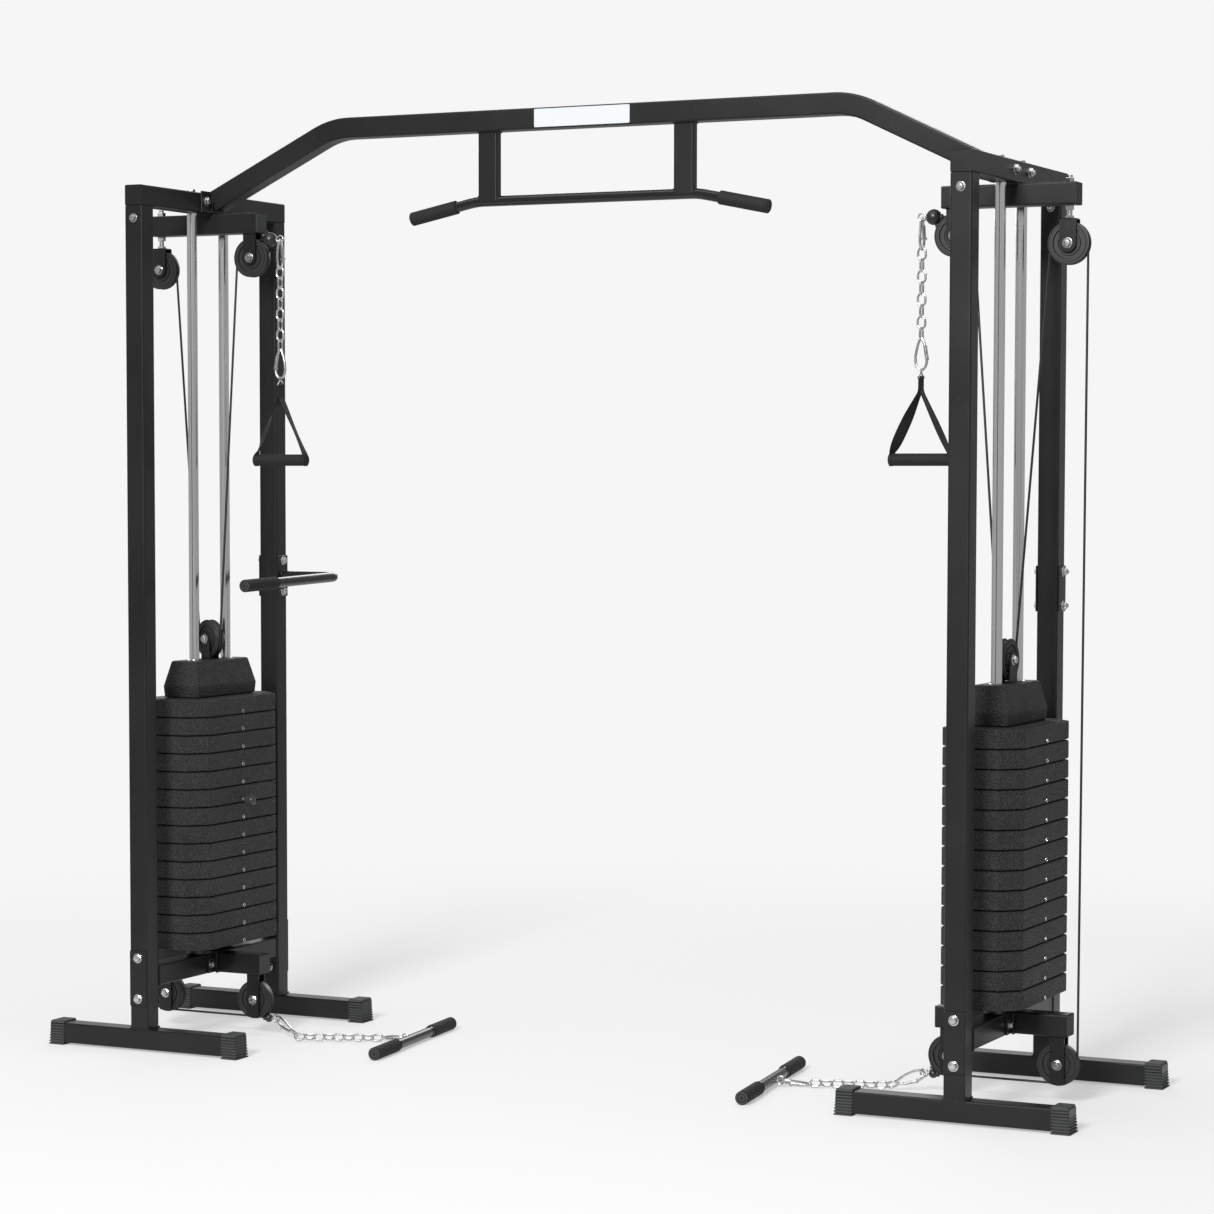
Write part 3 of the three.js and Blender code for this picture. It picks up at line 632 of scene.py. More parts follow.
# A pulley: bearing seat, stepped rings on both faces and a round groove
def makeWheel(name, side, key, centre, body, place=None):
    width, bore, seat = wheels["halfWidth"], wheels["bore"], wheels["seat"]
    halfProfile = [(radius, width - depth) for radius, depth in wheelFace] + wheelGroove
    profile = halfProfile + [(radius, -y) for radius, y in reversed(halfProfile[:-1])]
    piece = Piece(side, place)
    piece.lathe(profile, centre, yAxis, 56, loop=True)
    piece.finish(f"{name}_{key}_pulley", "wheelPlastic", body, [f"{name}_{key}_wheel"])
    bearing = Piece(side, place)
    race = [(bore, width + 0.0006), (bore + 0.0024, width + 0.001), (seat, width + 0.0004)]
    race += [(radius, -y) for radius, y in reversed(race)]
    bearing.lathe(race, centre, yAxis, 32, loop=True)
    bearing.finish(f"{name}_{key}_bearing", "zinc", body)


def makeTopBeam(name, side):
    top = tubeBottom - gap
    bottom = top - 2 * half
    z = top - half
    piece = Piece(side)
    piece.tube((-beam["reach"], 0, z), (beam["reach"], 0, z))
    cheekPair(piece, innerWheel[0], innerWheel[2], bottom + 0.001, beam["innerCheek"])
    for sign in (-1, 1):
        piece.bead([(-half, sign * half, top), (half, sign * half, top)], loop=False)
        piece.bead([(innerWheel[0] + reach, sign * (beam["cheekY"] + 0.0005), bottom)
                    for reach in (-0.017, 0.017)], loop=False)
    piece.finish(f"{name}_pulleyBeam", "framePaint", nodes=[f"{name}_pulley_beam"])
    plugs = Piece(side)
    for sign in (-1, 1):
        plugs.block((sign * beam["reach"], 0.001 - half, bottom + 0.001),
                    (sign * (beam["reach"] + beam["plug"]), half - 0.001, top - 0.001))
    plugs.finish(f"{name}_beamPlugs", "capRubber")
    outerX, _, outerZ = outerWheel
    yoke = Piece(side)
    cheekPair(yoke, outerX, outerZ, beam["bridgeTop"] - wheels["thickness"], beam["outerCheek"])
    reach = beam["outerCheek"] / 2
    yoke.block((outerX - reach, -beam["cheekY"], beam["bridgeTop"] - 0.004),
               (outerX + reach, beam["cheekY"], beam["bridgeTop"]))
    yoke.finish(f"{name}_outerYokePlate", "framePaint", nodes=[f"{name}_outer_yoke"])
    bolts = Piece(side)
    bolts.rod((outerX, 0, beam["bridgeTop"] - 0.008), (outerX, 0, beam["studUp"]), wheels["axle"])
    wide = beam["studNut"]
    for z in (top, bottom - wide):
        bolts.lathe([(wide, 0), (wide, 0.0088), (wide - 0.001, 0.01)], (outerX, 0, z), zAxis, 6)
    bolts.lathe([(wide - 0.001, 0), (wide, 0.001), (wide, 0.006)], (outerX, 0, beam["bridgeTop"]),
                zAxis, 6)
    axleEnds(bolts, outerX, outerZ)
    axleEnds(bolts, innerWheel[0], innerWheel[2])
    bolts.finish(f"{name}_beamBolts", "zinc")


base = dict(flangeLow=0.112, flangeHigh=0.248, armFlange=0.062, plate=0.004, boltY=0.048,
            cheekEnd=0.044, bumperTop=0.2315, bumperBore=0.0135, bumper=0.0235)


def makeBase(name, side):
    reach = legY - half - gap
    low, high = baseZ - half, baseZ + half
    piece = Piece(side)
    piece.tube((0, -reach + 0.002, baseZ), (0, reach - 0.002, baseZ), xAxis)
    piece.tube((-beam["reach"], 0, baseZ), (beam["reach"], 0, baseZ))
    for sign in (-1, 1):
        piece.block((leg["inset"] - half, sign * (reach - base["plate"]), base["flangeLow"]),
                    (half - leg["inset"], sign * reach, base["flangeHigh"]))
        edge = sign * (reach - 0.0045)
        piece.bead([(-half, edge, low), (half, edge, low), (half, edge, high), (-half, edge, high)])
        piece.block((sign * (half - 0.001), -base["armFlange"], low + 0.001),
                    (sign * (half + base["plate"]), base["armFlange"], high - 0.001))
        near = sign * (half + 0.0045)
        piece.bead([(near, -half, low), (near, half, low), (near, half, high), (near, -half, high)])
        cheekPair(piece, sign * wheels["bottomX"], wheels["bottomZ"], low + 0.001, beam["lowCheek"],
                  base["cheekEnd"])
    piece.finish(f"{name}_baseTubes", "framePaint", nodes=[f"{name}_base_frame"])
    plugs = Piece(side)
    bolts = Piece(side)
    for sign in (-1, 1):
        plugs.block((sign * beam["reach"], 0.001 - half, low + 0.001),
                    (sign * (beam["reach"] + beam["plug"]), half - 0.001, high - 0.001))
        axleEnds(bolts, sign * wheels["bottomX"], wheels["bottomZ"])
        for y in (-base["boltY"], base["boltY"]):
            bolts.bolt((sign * (half + base["plate"]), y, baseZ), (sign, 0, 0))
    plugs.finish(f"{name}_basePlugs", "capRubber")
    bolts.finish(f"{name}_baseBolts", "zinc")
    bumpers = Piece(side)
    bore, wide, top = base["bumperBore"], base["bumper"], base["bumperTop"]
    for y in (-stack["rodY"], stack["rodY"]):
        bumpers.lathe([(bore, high + 0.0005), (wide - 0.0015, high + 0.0005), (wide, high + 0.003),
                       (wide, top - 0.004), (wide - 0.0025, top), (bore, top)],
                      (0, y, 0), zAxis, 32, loop=True)
    bumpers.finish(f"{name}_stackBumpers", "stopRubber")


# Weight stack

stack = dict(bottom=0.232, pitch=0.0445, resting=8, lifted=6, halfX=0.096, halfY=0.2,
             chamfer=0.044, edge=0.0034, seam=0.0009, groove=0.008, slotWidth=0.01,
             slotHeight=0.012, slotDepth=0.004, rodY=0.072, rodRadius=0.0125, rodEdge=0.0008,
             rodLengths=24)
topWeight = dict(low=0.8553, wide=0.886, top=0.946, base=(0.05, 0.135), widest=(0.052, 0.137),
                 upper=(0.0385, 0.119), corner=0.007, stem=0.011)


def plateOutline(inset):
    x, y, c = stack["halfX"] - inset, stack["halfY"] - inset, stack["chamfer"]
    return rounded([(-x + c, -y), (x - c, -y), (x, -y + c), (x, y - c), (x - c, y), (-x + c, y),
                    (-x, y - c), (-x, -y + c)], 0.003, 3)


def makePlates(name, side):
    for number in range(stack["resting"] + stack["lifted"]):
        lifted = number >= stack["resting"]
        bottom = stack["bottom"] + number * stack["pitch"] + 0.0001
        top = bottom + stack["pitch"] - 0.0002
        low, high, edge = bottom + stack["seam"], top - stack["seam"], stack["edge"]
        rings = [(stack["groove"], bottom), (stack["groove"], low), (edge, low),
                 (edge * 0.3, low + edge * 0.3), (0, low + edge), (0, high - edge),
                 (edge * 0.3, high - edge * 0.3), (edge, high), (stack["groove"], high),
                 (stack["groove"], top)]
        piece = Piece(side)
        piece.loft([[(x, y, z) for x, y in plateOutline(inset)] for inset, z in rings])
        body = f"{name}_stack" if lifted else "frame"
        first = number in (0, stack["resting"])
        nodes = [f"{name}_lifted_plates" if lifted else f"{name}_resting_plates"] if first else []
        piece.finish(f"{name}_plate{number + 1:02d}", "plateShell", body, nodes)
        slots, bushes = Piece(side), Piece(side)
        for sign in (-1, 1):
            outside = sign * stack["halfX"]
            reach = stack["slotWidth"] / 2
            slots.block((outside - sign * stack["slotDepth"], -reach, low + 0.0005),
                        (outside + sign * 0.0004, reach, low + stack["slotHeight"]), 0.0006)
            bushes.lathe([(0.0034, 0), (0.0036, 0.0009), (0.0048, 0.0009), (0.005, 0)],
                         (outside + sign * 0.0002, 0, low + 0.0068), (sign, 0, 0), 20, loop=True)
        slots.finish(f"{name}_pinSlot{number + 1:02d}", "stopRubber", body)
        bushes.finish(f"{name}_pinBush{number + 1:02d}", "zinc", body)


def makeTopWeight(name, side):
    turn = Matrix.Rotation(math.radians(stackTurn[name]), 4, "Z")
    body = f"{name}_stack"
    low, wide, top = topWeight["low"], topWeight["wide"], topWeight["top"]
    levels = [("base", low + 0.0005, 0.003), ("base", low + 0.003, 0.0),
              ("widest", wide - 0.003, 0.0), ("widest", wide + 0.001, 0.0008),
              ("upper", top - 0.004, -0.0012), ("upper", top - 0.0012, 0.0002),
              ("upper", top, 0.0028)]
    rings = []
    for size, z, inset in levels:
        halfX, halfY = topWeight[size]
        outline = roundRect(halfX - inset, halfY - inset, topWeight["corner"])
        rings.append([(x, y, z) for x, y in outline])
    piece = Piece(side)
    piece.loft(rings)
    piece.finish(f"{name}_topWeightShell", "plateShell", body, [f"{name}_top_weight"])
    stem = Piece(side)
    stem.rod((0, 0, stack["bottom"] + 0.004), (0, 0, low + 0.002), topWeight["stem"])
    for sign in (-1, 1):
        stem.lathe([(0.0145, 0), (0.0195, 0), (0.0195, 0.0016), (0.0145, 0.0026)],
                   (0, sign * stack["rodY"], top - 0.0004), zAxis, 32, loop=True)
    stem.finish(f"{name}_selectorStem", "chrome", body)
    yoke = Piece(side, turn)
    cheekPair(yoke, 0, stackWheelZ, top + 0.001, beam["lowCheek"])
    reach = beam["lowCheek"] / 2
    yoke.block((-reach, -beam["cheekY"], top - 0.001), (reach, beam["cheekY"], top + 0.003))
    yoke.finish(f"{name}_stackYoke", "framePaint", body)
    bolts = Piece(side, turn)
    axleEnds(bolts, 0, stackWheelZ)
    bolts.finish(f"{name}_stackYokeBolts", "zinc", body)
    makeWheel(name, side, "stack", (0, 0, stackWheelZ), f"{name}_stack_wheel", turn)


pin = dict(lift=0.006, clear=0.005, radius=0.0045, tip=0.016, ridges=20, ridgeAt=0.0129,
           ridge=0.0007,
           knob=[(0.0075, 0), (0.0085, 0.002), (0.0085, 0.006), (0.0125, 0.009), (0.013, 0.011),
                 (0.013, 0.021), (0.0118, 0.0245), (0.007, 0.026)])


def makePin(name, side):
    z = stack["bottom"] + stack["resting"] * stack["pitch"] + pin["lift"]
    start = -stack["halfX"] - pin["clear"]
    knob = Piece(side)
    knob.lathe(pin["knob"], (start, 0, z), -xAxis, 40)
    for a, b in circle(pin["ridgeAt"], pin["ridges"]):
        knob.rod((start - 0.0115, a, z + b), (start - 0.0205, a, z + b), pin["ridge"], 6, 0.0003)
    # The knob's lighter plastic is a painted highlight
    knob.finish(f"{name}_pinKnob", "knobPlasticPaintedHighlight", f"{name}_selector_pin", [f"{name}_selector_pin"])
    shank = Piece(side)
    shank.rod((start - 0.002, 0, z), (pin["tip"], 0, z), pin["radius"])
    shank.finish(f"{name}_pinShank", "zinc", f"{name}_selector_pin")


def makeRods(name, side):
    radius, edge, count = stack["rodRadius"], stack["rodEdge"], stack["rodLengths"]
    low = baseZ + half + gap
    long = tubeBottom - gap - low
    profile = [(radius - edge, 0), (radius, edge)]
    profile += [(radius, long * i / count) for i in range(1, count)]
    profile += [(radius, long - edge), (radius - edge, long)]
    for row, y in (("front", -stack["rodY"]), ("rear", stack["rodY"])):
        piece = Piece(side)
        piece.lathe(profile, (0, y, low), zAxis, 48)
        piece.finish(f"{name}_{row}_chromedRod", "chrome", nodes=[f"{name}_{row}_guide_rod"])


# Cables: the runs to the stack stay on the frame, and the loop under its wheel goes with it

cable = dict(radius=0.00275, lift=0.6, upperBallX=-0.182, upperBallR=0.018, lowerBallX=-0.168,
             lowerBallR=0.0105, lowerBallZ=0.047)


def makeCables(name, side):
    pitch = wheels["pitch"]
    lean = math.radians(stackTurn[name])
    section = circle(cable["radius"], 12)
    lowWheel = (0, 0, stackWheelZ)
    innerArc = around(innerWheel, pitch, 90, 2, 14)
    outerArc = around(outerWheel, pitch, 178, 0, 28)
    loopArc = around(lowWheel, pitch, 182, 358, 26, lean)
    piece = Piece(side)
    piece.sweep(innerArc, section)
    piece.finish(f"{name}_innerWheelCable", "sheath", nodes=[f"{name}_stack_cable"])
    piece = Piece(side)
    piece.sweep(loopArc, section, Vector((-math.sin(lean), math.cos(lean), 0)))
    piece.finish(f"{name}_stackLoopCable", "sheath", f"{name}_stack")
    runs = (("inner", innerArc[-1], loopArc[0]), ("outer", outerArc[0], loopArc[-1]))
    for key, start, end in runs:
        piece = Piece(side)
        piece.sweep(straight(start, end, 20), section)
        run = piece.finish(f"{name}_{key}Run", "sheath", crisp=False)
        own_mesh(run)
    bottom = wheels["bottomZ"] - pitch
    piece = Piece(side)
    underneath = [Vector((-wheels["bottomX"], 0, bottom))]
    piece.sweep(outerArc + around((wheels["bottomX"], 0, wheels["bottomZ"]), pitch, 0, -90, 14)
                + underneath, section)
    piece.finish(f"{name}_outerCable", "sheath", nodes=[f"{name}_pull_cable"])
    ends = (("upper", 1, innerWheel, innerArc[0], cable["upperBallX"], innerArc[0].z),
            ("lower", -1, (-wheels["bottomX"], 0, wheels["bottomZ"]), underneath[0],
             cable["lowerBallX"], cable["lowerBallZ"]))
    for key, over, wheel, start, ballX, ballZ in ends:
        pull = joints[f"{name}_{key}_pull"]["axis"]
        # The wrap ends where a pulled cable leaves its wheel
        leave = math.degrees(math.atan2(-over * side * pull[0], over * pull[2])) % 360
        wrap = around(wheel, pitch, 90 * over % 360, leave, 12)
        piece = Piece(side)
        piece.sweep(wrap, section)
        piece.finish(f"{name}_{key}Wrap", "sheath")
        ball = Vector((ballX, 0, ballZ))
        short = Piece(side)
        short.sweep(straight(start, ball, 8), section)
        lead = short.finish(f"{name}_{key}Lead", "sheath", crisp=False)
        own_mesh(lead)
        piece = Piece(side)
        piece.sweep(straight(wrap[-1], ball, 24), section)
        stub = piece.finish(f"{name}_{key}Stub", "sheath", ride=False, crisp=False)
        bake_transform(stub)


# Stop balls, chains and handles

eye = dict(radius=0.0092, wire=0.0021)
hook = dict(length=0.078, width=0.032, wire=0.0032, swell=0.38)
linkSize = dict(pitch=0.0262, width=0.0235, wire=0.00265)
upperEye = Vector((-0.21, 0, innerWheel[2] + wheels["pitch"]))
chainEnd = Vector((-0.21, 0, 1.647))
lowerEye = Vector((-0.19, 0, 0.047))
lowRoutes = dict(
    left=dict(points=[lowerEye, Vector((-0.28, -0.038, 0.013)), Vector((-0.488, 0.062, 0.0105)),
                      Vector((-0.531, 0.052, 0.015))], turn=6),
    right=dict(points=[lowerEye, Vector((-0.27, -0.008, 0.013)), Vector((-0.48, -0.062, 0.0105)),
                       Vector((-0.513, -0.077, 0.015))], turn=-7))


def addEye(piece, centre, axis):
    ring = [(eye["radius"] + a, b) for a, b in circle(eye["wire"], 12)]
    piece.lathe(ring, centre, axis, 32, loop=True)


def makeBall(name, side, key, x, z, radius, eyeX):
    body = f"{name}_{key}_ball"
    piece = Piece(side)
    profile = [(radius * math.sin(math.pi * i / 24), -radius * math.cos(math.pi * i / 24))
               for i in range(1, 24)]
    piece.lathe(profile, (x, 0, z), xAxis, 40)
    piece.lathe([(0.0042, 0), (0.0066, 0.001), (0.0066, 0.006), (0.005, 0.007)],
                (x + radius - 0.003, 0, z), xAxis, 24)
    piece.finish(f"{name}_{key}_stopBall", "stopRubber", body, [f"{name}_{key}_ball"])
    steel = Piece(side)
    steel.rod((x - radius + 0.003, 0, z), (eyeX + 0.009, 0, z), 0.0042)
    addEye(steel, (eyeX, 0, z), yAxis)
    steel.finish(f"{name}_{key}_ballEye", "zinc", body)


# A spring hook: a pear of round wire with a sleeve over its gate
def addHook(piece, centre, along, side):
    piece.link(centre, along, side, hook["length"], hook["width"], hook["wire"], hook["swell"])
    reach = hook["width"] / 2 - hook["wire"]
    start = centre - along * 0.019 + side * reach * 0.7
    end = centre + along * 0.011 + side * reach * 1.09
    piece.rod(start, end, 0.0043, 16)
    piece.lathe([(0.0026, -0.0062), (0.0032, -0.0054), (0.0032, 0.0054), (0.0026, 0.0062)], end,
                along.cross(side), 12)


def makeChain(name, side, key, points, level):
    lengths = [(b - a).length for a, b in zip(points, points[1:])]

    def at(distance):
        spot = max(0, distance)
        for start, end, length in zip(points, points[1:], lengths):
            if spot <= length or end is points[-1]:
                along = (end - start).normalized()
                return start + along * spot, along
            spot -= length

    total = sum(lengths)
    hookReach = hook["length"] - 3 * hook["wire"]
    inside = total - 2 * hookReach
    count = 2 * max(1, round(inside / linkSize["pitch"] / 2))
    pitch = inside / count
    piece = Piece(side)
    hookMiddle = hook["length"] / 2 - hook["wire"]
    for i in range(count + 2):
        if i == 0:
            distance = hookMiddle
        elif i == count + 1:
            distance = total - hookMiddle
        else:
            distance = hookReach + pitch * (i - 0.5)
        centre, along = at(distance)
        flat = (level - along * level.dot(along)).normalized()
        upright = along.cross(flat)
        if key == "upper":
            across = flat if i % 2 == 0 else upright
        else:
            lean = math.radians(62 if i == 0 else 26 if i == count + 1 else 45 if i % 2 else -45)
            across = flat * math.cos(lean) + upright * math.sin(lean)
        if i in (0, count + 1):
            wideEnd = -along if i == 0 and key == "lower" else along
            addHook(piece, centre, wideEnd, across)
        else:
            length = pitch + 2 * linkSize["wire"] + 0.0006
            piece.link(centre, along, across, length, linkSize["width"], linkSize["wire"])
    piece.finish(f"{name}_{key}_linkChain", "zinc", f"{name}_{key}_chain", [f"{name}_{key}_chain"])


strap = dict(twistBig=58, twistSmall=14, splitZ=1.6, top=1.6285, gripZ=1.445, reach=0.0705,
             band=0.0125, thick=0.0013, gripHalf=0.075, gripRadius=0.015, ringWire=0.0019,
             ringHalf=0.015)
stitch = dict(rows=7, pitch=0.0033, side=0.009, reach=0.0031, long=0.0019, columns=5,
              apart=0.0036)


def makeStrapHandle(name, side):
    body = f"{name}_strap_handle"
    x = chainEnd.x
    bands = Piece(side)
    section = roundRect(strap["band"], strap["thick"], 0.0008, 2)
    spread = strap["splitZ"] - strap["gripZ"] - 0.012
    for sign in (-1, 1):
        rest = sign * strap["thick"]
        corners = [(x + rest, 0, strap["top"]), (x + rest, 0, strap["splitZ"]),
                   (x + sign * strap["reach"], 0, strap["gripZ"] + 0.012),
                   (x + sign * (strap["reach"] + 0.001), 0, strap["gripZ"])]
        most = math.radians(strap["twistBig"] if sign == -side else strap["twistSmall"])

        def twist(point, most=most):
            share = min(1, max(0, (strap["splitZ"] - point.z) / spread))
            return most * math.sin(math.pi * share ** 1.5)

        bands.sweep(evenly(bentPath(corners, 0.008, 6), 0.006), section, twist=twist)
    top = [(x + 0.0034 * math.sin(math.pi * (i / 10 - 0.5)), 0,
            strap["top"] + 0.0045 * math.cos(math.pi * (i / 10 - 0.5))) for i in range(11)]
    bands.sweep(top, section)
    bands.finish(f"{name}_strapWebbing", "webbing", body, [f"{name}_strap_handle"])
    thread = Piece(side)
    reach, across = stitch["reach"], stitch["apart"] * (stitch["columns"] - 1) / 2

    def sew(y, z, halfWide, tall):
        thread.block((x - reach, y - halfWide, z), (x + reach, y + halfWide, z + tall), 0.0002)

    for row in range(stitch["rows"]):
        z = strap["splitZ"] + 0.003 + row * stitch["pitch"]
        for y in (-stitch["side"], stitch["side"]):
            sew(y, z, 0.0003, stitch["long"])
        if row in (0, stitch["rows"] - 1):
            for column in range(stitch["columns"]):
                sew(column * stitch["apart"] - across, z, 0.0009, 0.0006)
    thread.finish(f"{name}_strapStitches", "wheelPlastic", body)
    ring = Piece(side)
    low, high, wide = strap["top"] + 0.0015, chainEnd.z - 0.002, strap["ringHalf"]
    outline = rounded([(x, -wide, low), (x, wide, low), (x, 0, high)], 0.006, 5)
    ring.sweep(outline, circle(strap["ringWire"], 10), xAxis, loop=True)
    ring.finish(f"{name}_strapRing", "zinc", body)
    grip = Piece(side)
    reach, radius = strap["gripHalf"], strap["gripRadius"]
    profile = [(radius - 0.003, -reach), (radius, -reach + 0.002), (radius, -reach + 0.007),
               (radius - 0.0012, -reach + 0.009)]
    for i in range(17):
        z = (reach - 0.011) * (i / 8 - 1)
        profile += [(radius - 0.0007, z - 0.0012), (radius - 0.0014, z),
                    (radius - 0.0007, z + 0.0012)]
    profile += [(radius - 0.0012, reach - 0.009), (radius, reach - 0.007), (radius, reach - 0.002),
                (radius - 0.003, reach)]
    grip.lathe(profile, (x, 0, strap["gripZ"]), xAxis, 36)
    grip.finish(f"{name}_strapGrip", "gripFoam", body)


# A foam or rubber sleeve over the end of a bar, with a groove near its closed end
def addGrip(piece, start, end, radius):
    start, end = Vector(start), Vector(end)
    length = (end - start).length
    profile = [(radius - 0.0016, 0), (radius - 0.0002, 0.0012), (radius, 0.003),
               (radius, length - 0.008), (radius - 0.0008, length - 0.0072),
               (radius, length - 0.0062), (radius, length - 0.0022), (radius - 0.002, length)]
    piece.lathe(profile, start, end - start, 36)


# The moulded end of a grip, with rings round its middle
def addGripEnd(piece, start, end, radius):
    rings = [(0.86, -0.001), (0.86, 0.0), (0.8, 0.0006), (0.7, 0.0006), (0.64, -0.0004),
             (0.5, -0.0004), (0.44, 0.0006), (0.3, 0.0006), (0.24, -0.0006), (0.1, -0.0006)]
    profile = [(radius * share, height) for share, height in rings]
    piece.lathe(profile, end, Vector(end) - Vector(start), 36)


def makeGrips(name, spans, radius, body="frame"):
    sleeves, ends = Piece(), Piece()
    for start, end in spans:
        addGrip(sleeves, start, end, radius)
        addGripEnd(ends, start, end, radius)
    sleeves.finish(f"{name}Grips", "gripFoam", body)
    ends.finish(f"{name}GripEnds", "capRubber", body)


lowBar = dict(halfLength=0.244, coreHalf=0.24, core=0.0125, grip=0.016, gripStart=0.11,
              collarAt=0.1015, eyeReach=0.022)


def makeLowBar(name, side):
    route = lowRoutes[name]
    turn = math.radians(route["turn"])
    eyeX, eyeY, _ = route["points"][-1]
    across = Vector((math.cos(turn), -math.sin(turn), 0))
    along = Vector((math.sin(turn), math.cos(turn), 0))
    centre = Vector((eyeX, eyeY, lowBar["grip"])) - across * lowBar["eyeReach"]

    def inWorld(point):
        return Vector((side * (towerX + point.x), point.y, point.z))

    body = f"{name}_lower_bar"
    core = Piece(side)
    tip = along * lowBar["coreHalf"]
    core.rod(centre - tip, centre + tip, lowBar["core"], 36)
    for sign in (-1, 1):
        core.lathe([(0.0125, 0), (0.0142, 0.001), (0.0142, 0.004), (0.0125, 0.005)],
                   centre + along * sign * lowBar["collarAt"] - along * 0.0025, along, 32)
    core.finish(f"{name}_lowBarTube", "glossPaint", body, [f"{name}_lower_bar"])
    reaches = (lowBar["gripStart"], lowBar["halfLength"] - 0.0006)
    makeGrips(f"{name}_lowBar", [[inWorld(centre + along * sign * reach) for reach in reaches]
                                 for sign in (-1, 1)], lowBar["grip"], body)
    steel = Piece(side)
    addEye(steel, centre + across * lowBar["eyeReach"], along)
    steel.rod(centre + across * 0.0115, centre + across * (lowBar["eyeReach"] - 0.0085), 0.0038, 16)
    steel.finish(f"{name}_lowBarEye", "zinc", body)


# Crossbar and pull-up bar

bridge = dict(topZ=2.252, bendX=0.68, bendRadius=0.2, bendSteps=14, rise=0.004, flange=0.072,
              flangeLow=2.057, flangeHigh=2.11, plate=0.004, boltY=0.05, boltZ=2.085)
pullUp = dict(z=2.063, bendX=0.291, endX=0.466, endZ=2.027, bend=0.02, radius=0.0125, hangerX=0.257,
              hangerHalf=0.013, gripStart=0.345, gripEnd=0.469, gripRadius=0.0165)
label = dict(halfX=0.125, halfZ=0.0215, thick=0.0012)


def makeCrossbar():
    endX = towerX - half - gap
    endZ = frameTop - half + bridge["rise"]
    topZ, bendRadius = bridge["topZ"], bridge["bendRadius"]
    slope = math.atan2(topZ - endZ, endX - bridge["bendX"])
    arcX = bridge["bendX"] - bendRadius * math.tan(slope / 2)
    turns = [slope * i / bridge["bendSteps"] for i in range(bridge["bendSteps"] + 1)]
    rightHalf = [Vector((arcX + bendRadius * math.sin(turn), 0,
                         topZ - bendRadius * (1 - math.cos(turn)))) for turn in turns]
    rightHalf.append(Vector((endX - 0.003, 0, endZ + 0.003 * math.tan(slope))))
    leftHalf = [Vector((-point.x, 0, point.z)) for point in reversed(rightHalf)]
    piece = Piece()
    piece.sweep(leftHalf + rightHalf, roundRect(half, half, tubeCorner))
    for sign in (-1, 1):
        piece.block((sign * (endX - bridge["plate"]), -bridge["flange"], bridge["flangeLow"]),
                    (sign * endX, bridge["flange"], bridge["flangeHigh"]))
        near = sign * (endX - 0.0045)
        drop = half / math.cos(slope)
        low, high = endZ - drop + 0.006, endZ + drop - 0.004
        piece.bead([(near, -half, low), (near, -half, high), (near, half, high), (near, half, low)],
                   loop=False)
        x = sign * pullUp["hangerX"]
        piece.loft([[(x + a, b, z) for a, b in roundRect(half, pullUp["hangerHalf"], 0.004)]
                    for z in (pullUp["z"], topZ - half + 0.001)])
        piece.bead(rectLoop(half, pullUp["hangerHalf"], topZ - half, x), 0.0022)
        piece.bead(rectLoop(half, pullUp["hangerHalf"] * 0.8, pullUp["z"] + 0.0105, x), 0.002)
    fall = (pullUp["z"] - pullUp["endZ"]) / (pullUp["endX"] - pullUp["bendX"])

    def onBar(x):
        return (x, 0, pullUp["z"] - max(0, abs(x) - pullUp["bendX"]) * fall)

    piece.finish("crossbarTubes", "framePaint", nodes=["crossbar"])
    stations = (-pullUp["endX"], -pullUp["bendX"], pullUp["bendX"], pullUp["endX"])
    corners = [onBar(x) for x in stations]
    bar = Piece()
    bar.sweep(bentPath(corners, pullUp["bend"]), circle(pullUp["radius"], 28))
    bar.finish("pullUpBar", "glossPaint")
    makeGrips("pullUp", [[onBar(sign * x) for x in (pullUp["gripStart"], pullUp["gripEnd"])]
                         for sign in (-1, 1)], pullUp["gripRadius"])
    bolts = Piece()
    for sign in (-1, 1):
        for y in (-bridge["boltY"], bridge["boltY"]):
            bolts.bolt((sign * (endX - bridge["plate"]), y, bridge["boltZ"]), (-sign, 0, 0))
    bolts.finish("crossbarBolts", "zinc")
    blank = Piece()
    outline = roundRect(label["halfX"], label["halfZ"], 0.003)
    blank.loft([[(x * shrink, -half - y, topZ + z * shrink) for x, z in outline]
                for y, shrink in ((0, 1), (label["thick"] * 0.6, 1), (label["thick"], 0.995))])
    blank.finish("blankNamePlate", "labelWhite")


# Balance handle on the left tower, and the bare plates for one on the right

balance = dict(z=1.148, plateHalf=0.053, plate=0.004, elbow=0.861, end=(0.87, -0.126), drop=0.012,
               bend=0.034, radius=0.0125, grip=0.0155, gripShares=(0.68, 1.01), boltOffset=0.0395)


def makeBalance(name, side):
    near, plate = -half - gap, balance["plate"]
    z, tall = balance["z"], balance["plateHalf"]
    plates = Piece(side)
    for low, high in ((near - plate, near), (half, half + plate)):
        plates.block((low, legY - half + 0.001, z - tall), (high, legY + half - 0.001, z + tall))
    bolts = Piece(side)
    for sign in (-1, 1):
        spot = z + sign * balance["boltOffset"]
        bolts.bolt((near - plate, legY, spot), -xAxis)
        bolts.nut((half + plate, legY, spot), xAxis)
    bolts.finish(f"{name}_handleBolts", "zinc")
    plates.finish(f"{name}_handlePlates", "framePaint")
    if name == "right":
        return
    elbow = Vector((-balance["elbow"], legY, z))
    end = Vector((-balance["end"][0], balance["end"][1], z - balance["drop"]))
    bar = Piece()
    start = Vector((-towerX + half + 0.003, legY, z))
    route = bentPath([start, elbow, end], balance["bend"], 12)
    bar.sweep(route, circle(balance["radius"], 28), zAxis)
    bar.bead([start + Vector((0.002, a, b)) for a, b in circle(balance["radius"], 16)])
    bar.finish("balanceBar", "glossPaint", nodes=["balance_handle"])
    span = [elbow.lerp(end, share) for share in balance["gripShares"]]
    makeGrips("balance", [span], balance["grip"])


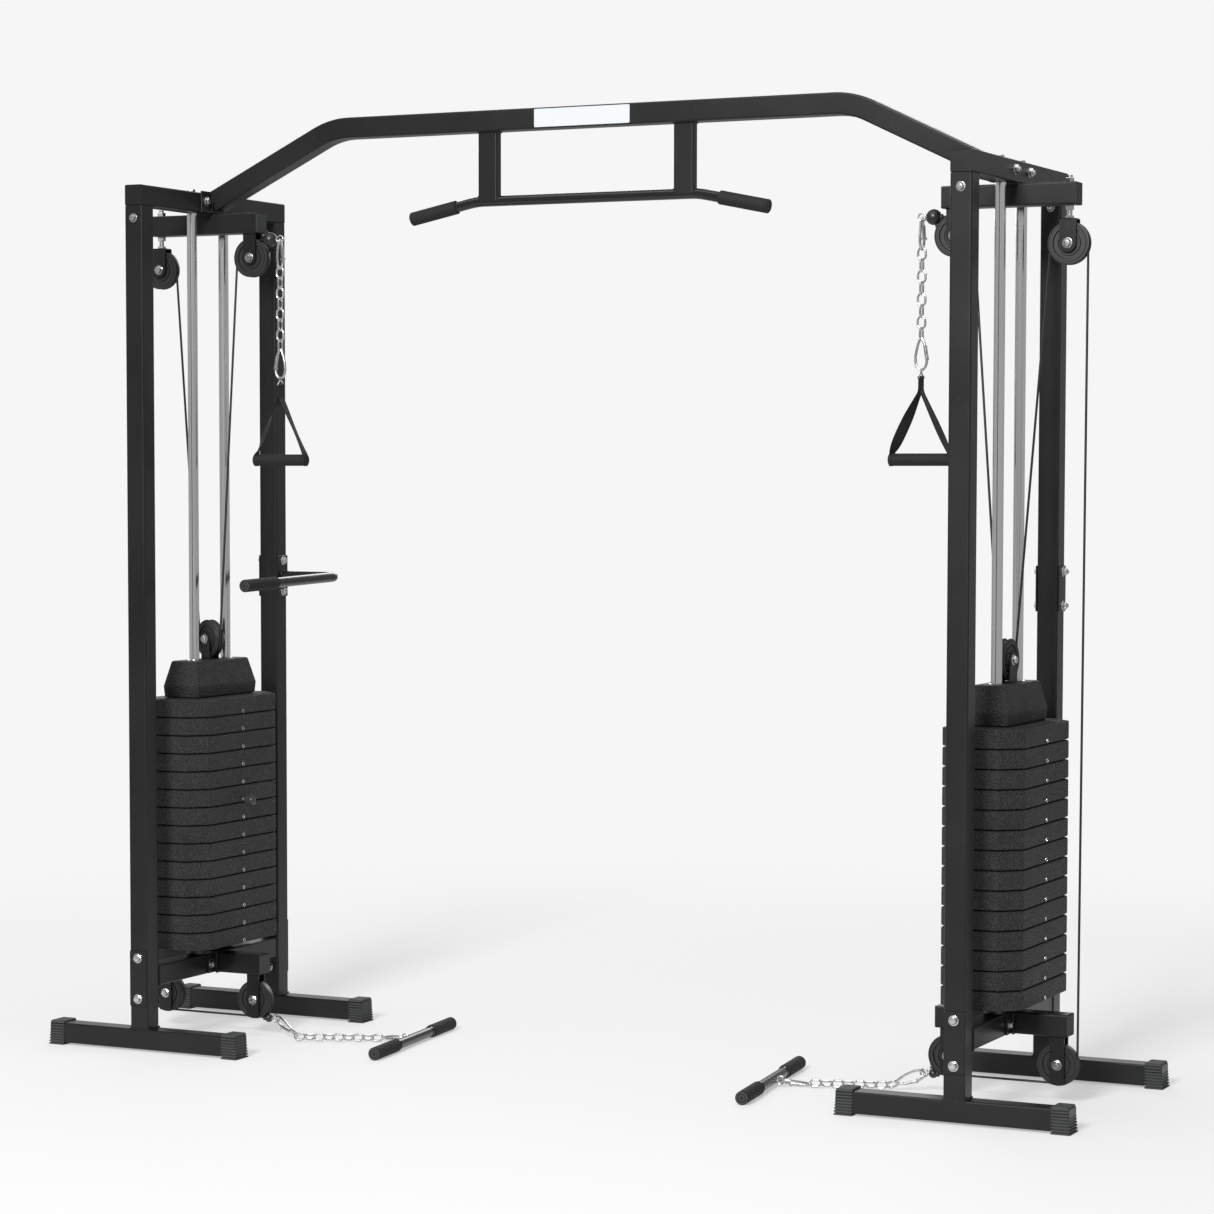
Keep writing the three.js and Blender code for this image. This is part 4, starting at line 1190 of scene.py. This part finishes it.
def makeTower(name, side):
    for row, sign in (("front", -1), ("rear", 1)):
        makeLeg(name, side, row, sign)
        makeFootCap(name, side, row, sign, "inner", -1)
        makeFootCap(name, side, row, sign, "outer", 1)
    makeTopTube(name, side)
    makeTopBeam(name, side)
    makeBase(name, side)
    makeRods(name, side)
    makePlates(name, side)
    makeTopWeight(name, side)
    makePin(name, side)
    makeWheel(name, side, "inner_top", innerWheel, f"{name}_inner_top_wheel")
    makeWheel(name, side, "outer_top", outerWheel, f"{name}_outer_top_wheel")
    for key, sign in (("inner", -1), ("outer", 1)):
        makeWheel(name, side, f"{key}_bottom", (sign * wheels["bottomX"], 0, wheels["bottomZ"]),
                  f"{name}_{key}_bottom_wheel")
    makeCables(name, side)
    makeBall(name, side, "upper", cable["upperBallX"], upperEye.z, cable["upperBallR"], upperEye.x)
    makeBall(name, side, "lower", cable["lowerBallX"], cable["lowerBallZ"], cable["lowerBallR"],
             lowerEye.x)
    makeChain(name, side, "upper", [upperEye, chainEnd], yAxis)
    makeChain(name, side, "lower", lowRoutes[name]["points"], yAxis)
    makeStrapHandle(name, side)
    makeLowBar(name, side)
    makeBalance(name, side)
    print(name, "tower made")


# A pale floor that fades into the backdrop
def makeFloor():
    graph = Graph("floor", Base_Color=grey(studio["floorTone"]), Roughness=1.0,
                  Specular_IOR_Level=0.0, Emission_Color=grey(1.0),
                  Emission_Strength=studio["floorGlow"])
    distance = graph.node("ShaderNodeVectorMath", {"operation": "LENGTH"}, {0: graph.where},
                          "Value")
    fade = graph.node("ShaderNodeMapRange", {"interpolation_type": "SMOOTHSTEP"},
                      {"Value": distance, "From Min": studio["fadeFrom"],
                       "From Max": studio["fadeTo"], "To Min": 1.0, "To Max": 0.0})
    graph.feed(graph.shader.inputs["Alpha"], fade)
    disc = bmesh.new()
    bmesh.ops.create_circle(disc, cap_ends=True, radius=studio["floorRadius"], segments=96)
    data = bpy.data.meshes.new("floor")
    disc.to_mesh(data)
    disc.free()
    data.materials.append(graph.material)
    floor = bpy.data.objects.new("floor", data)
    bpy.context.scene.collection.objects.link(floor)


makeStudio()
makeFloor()
for name, side in (("left", -1), ("right", 1)):
    makeTower(name, side)
makeCrossbar()
print("crossbar made")
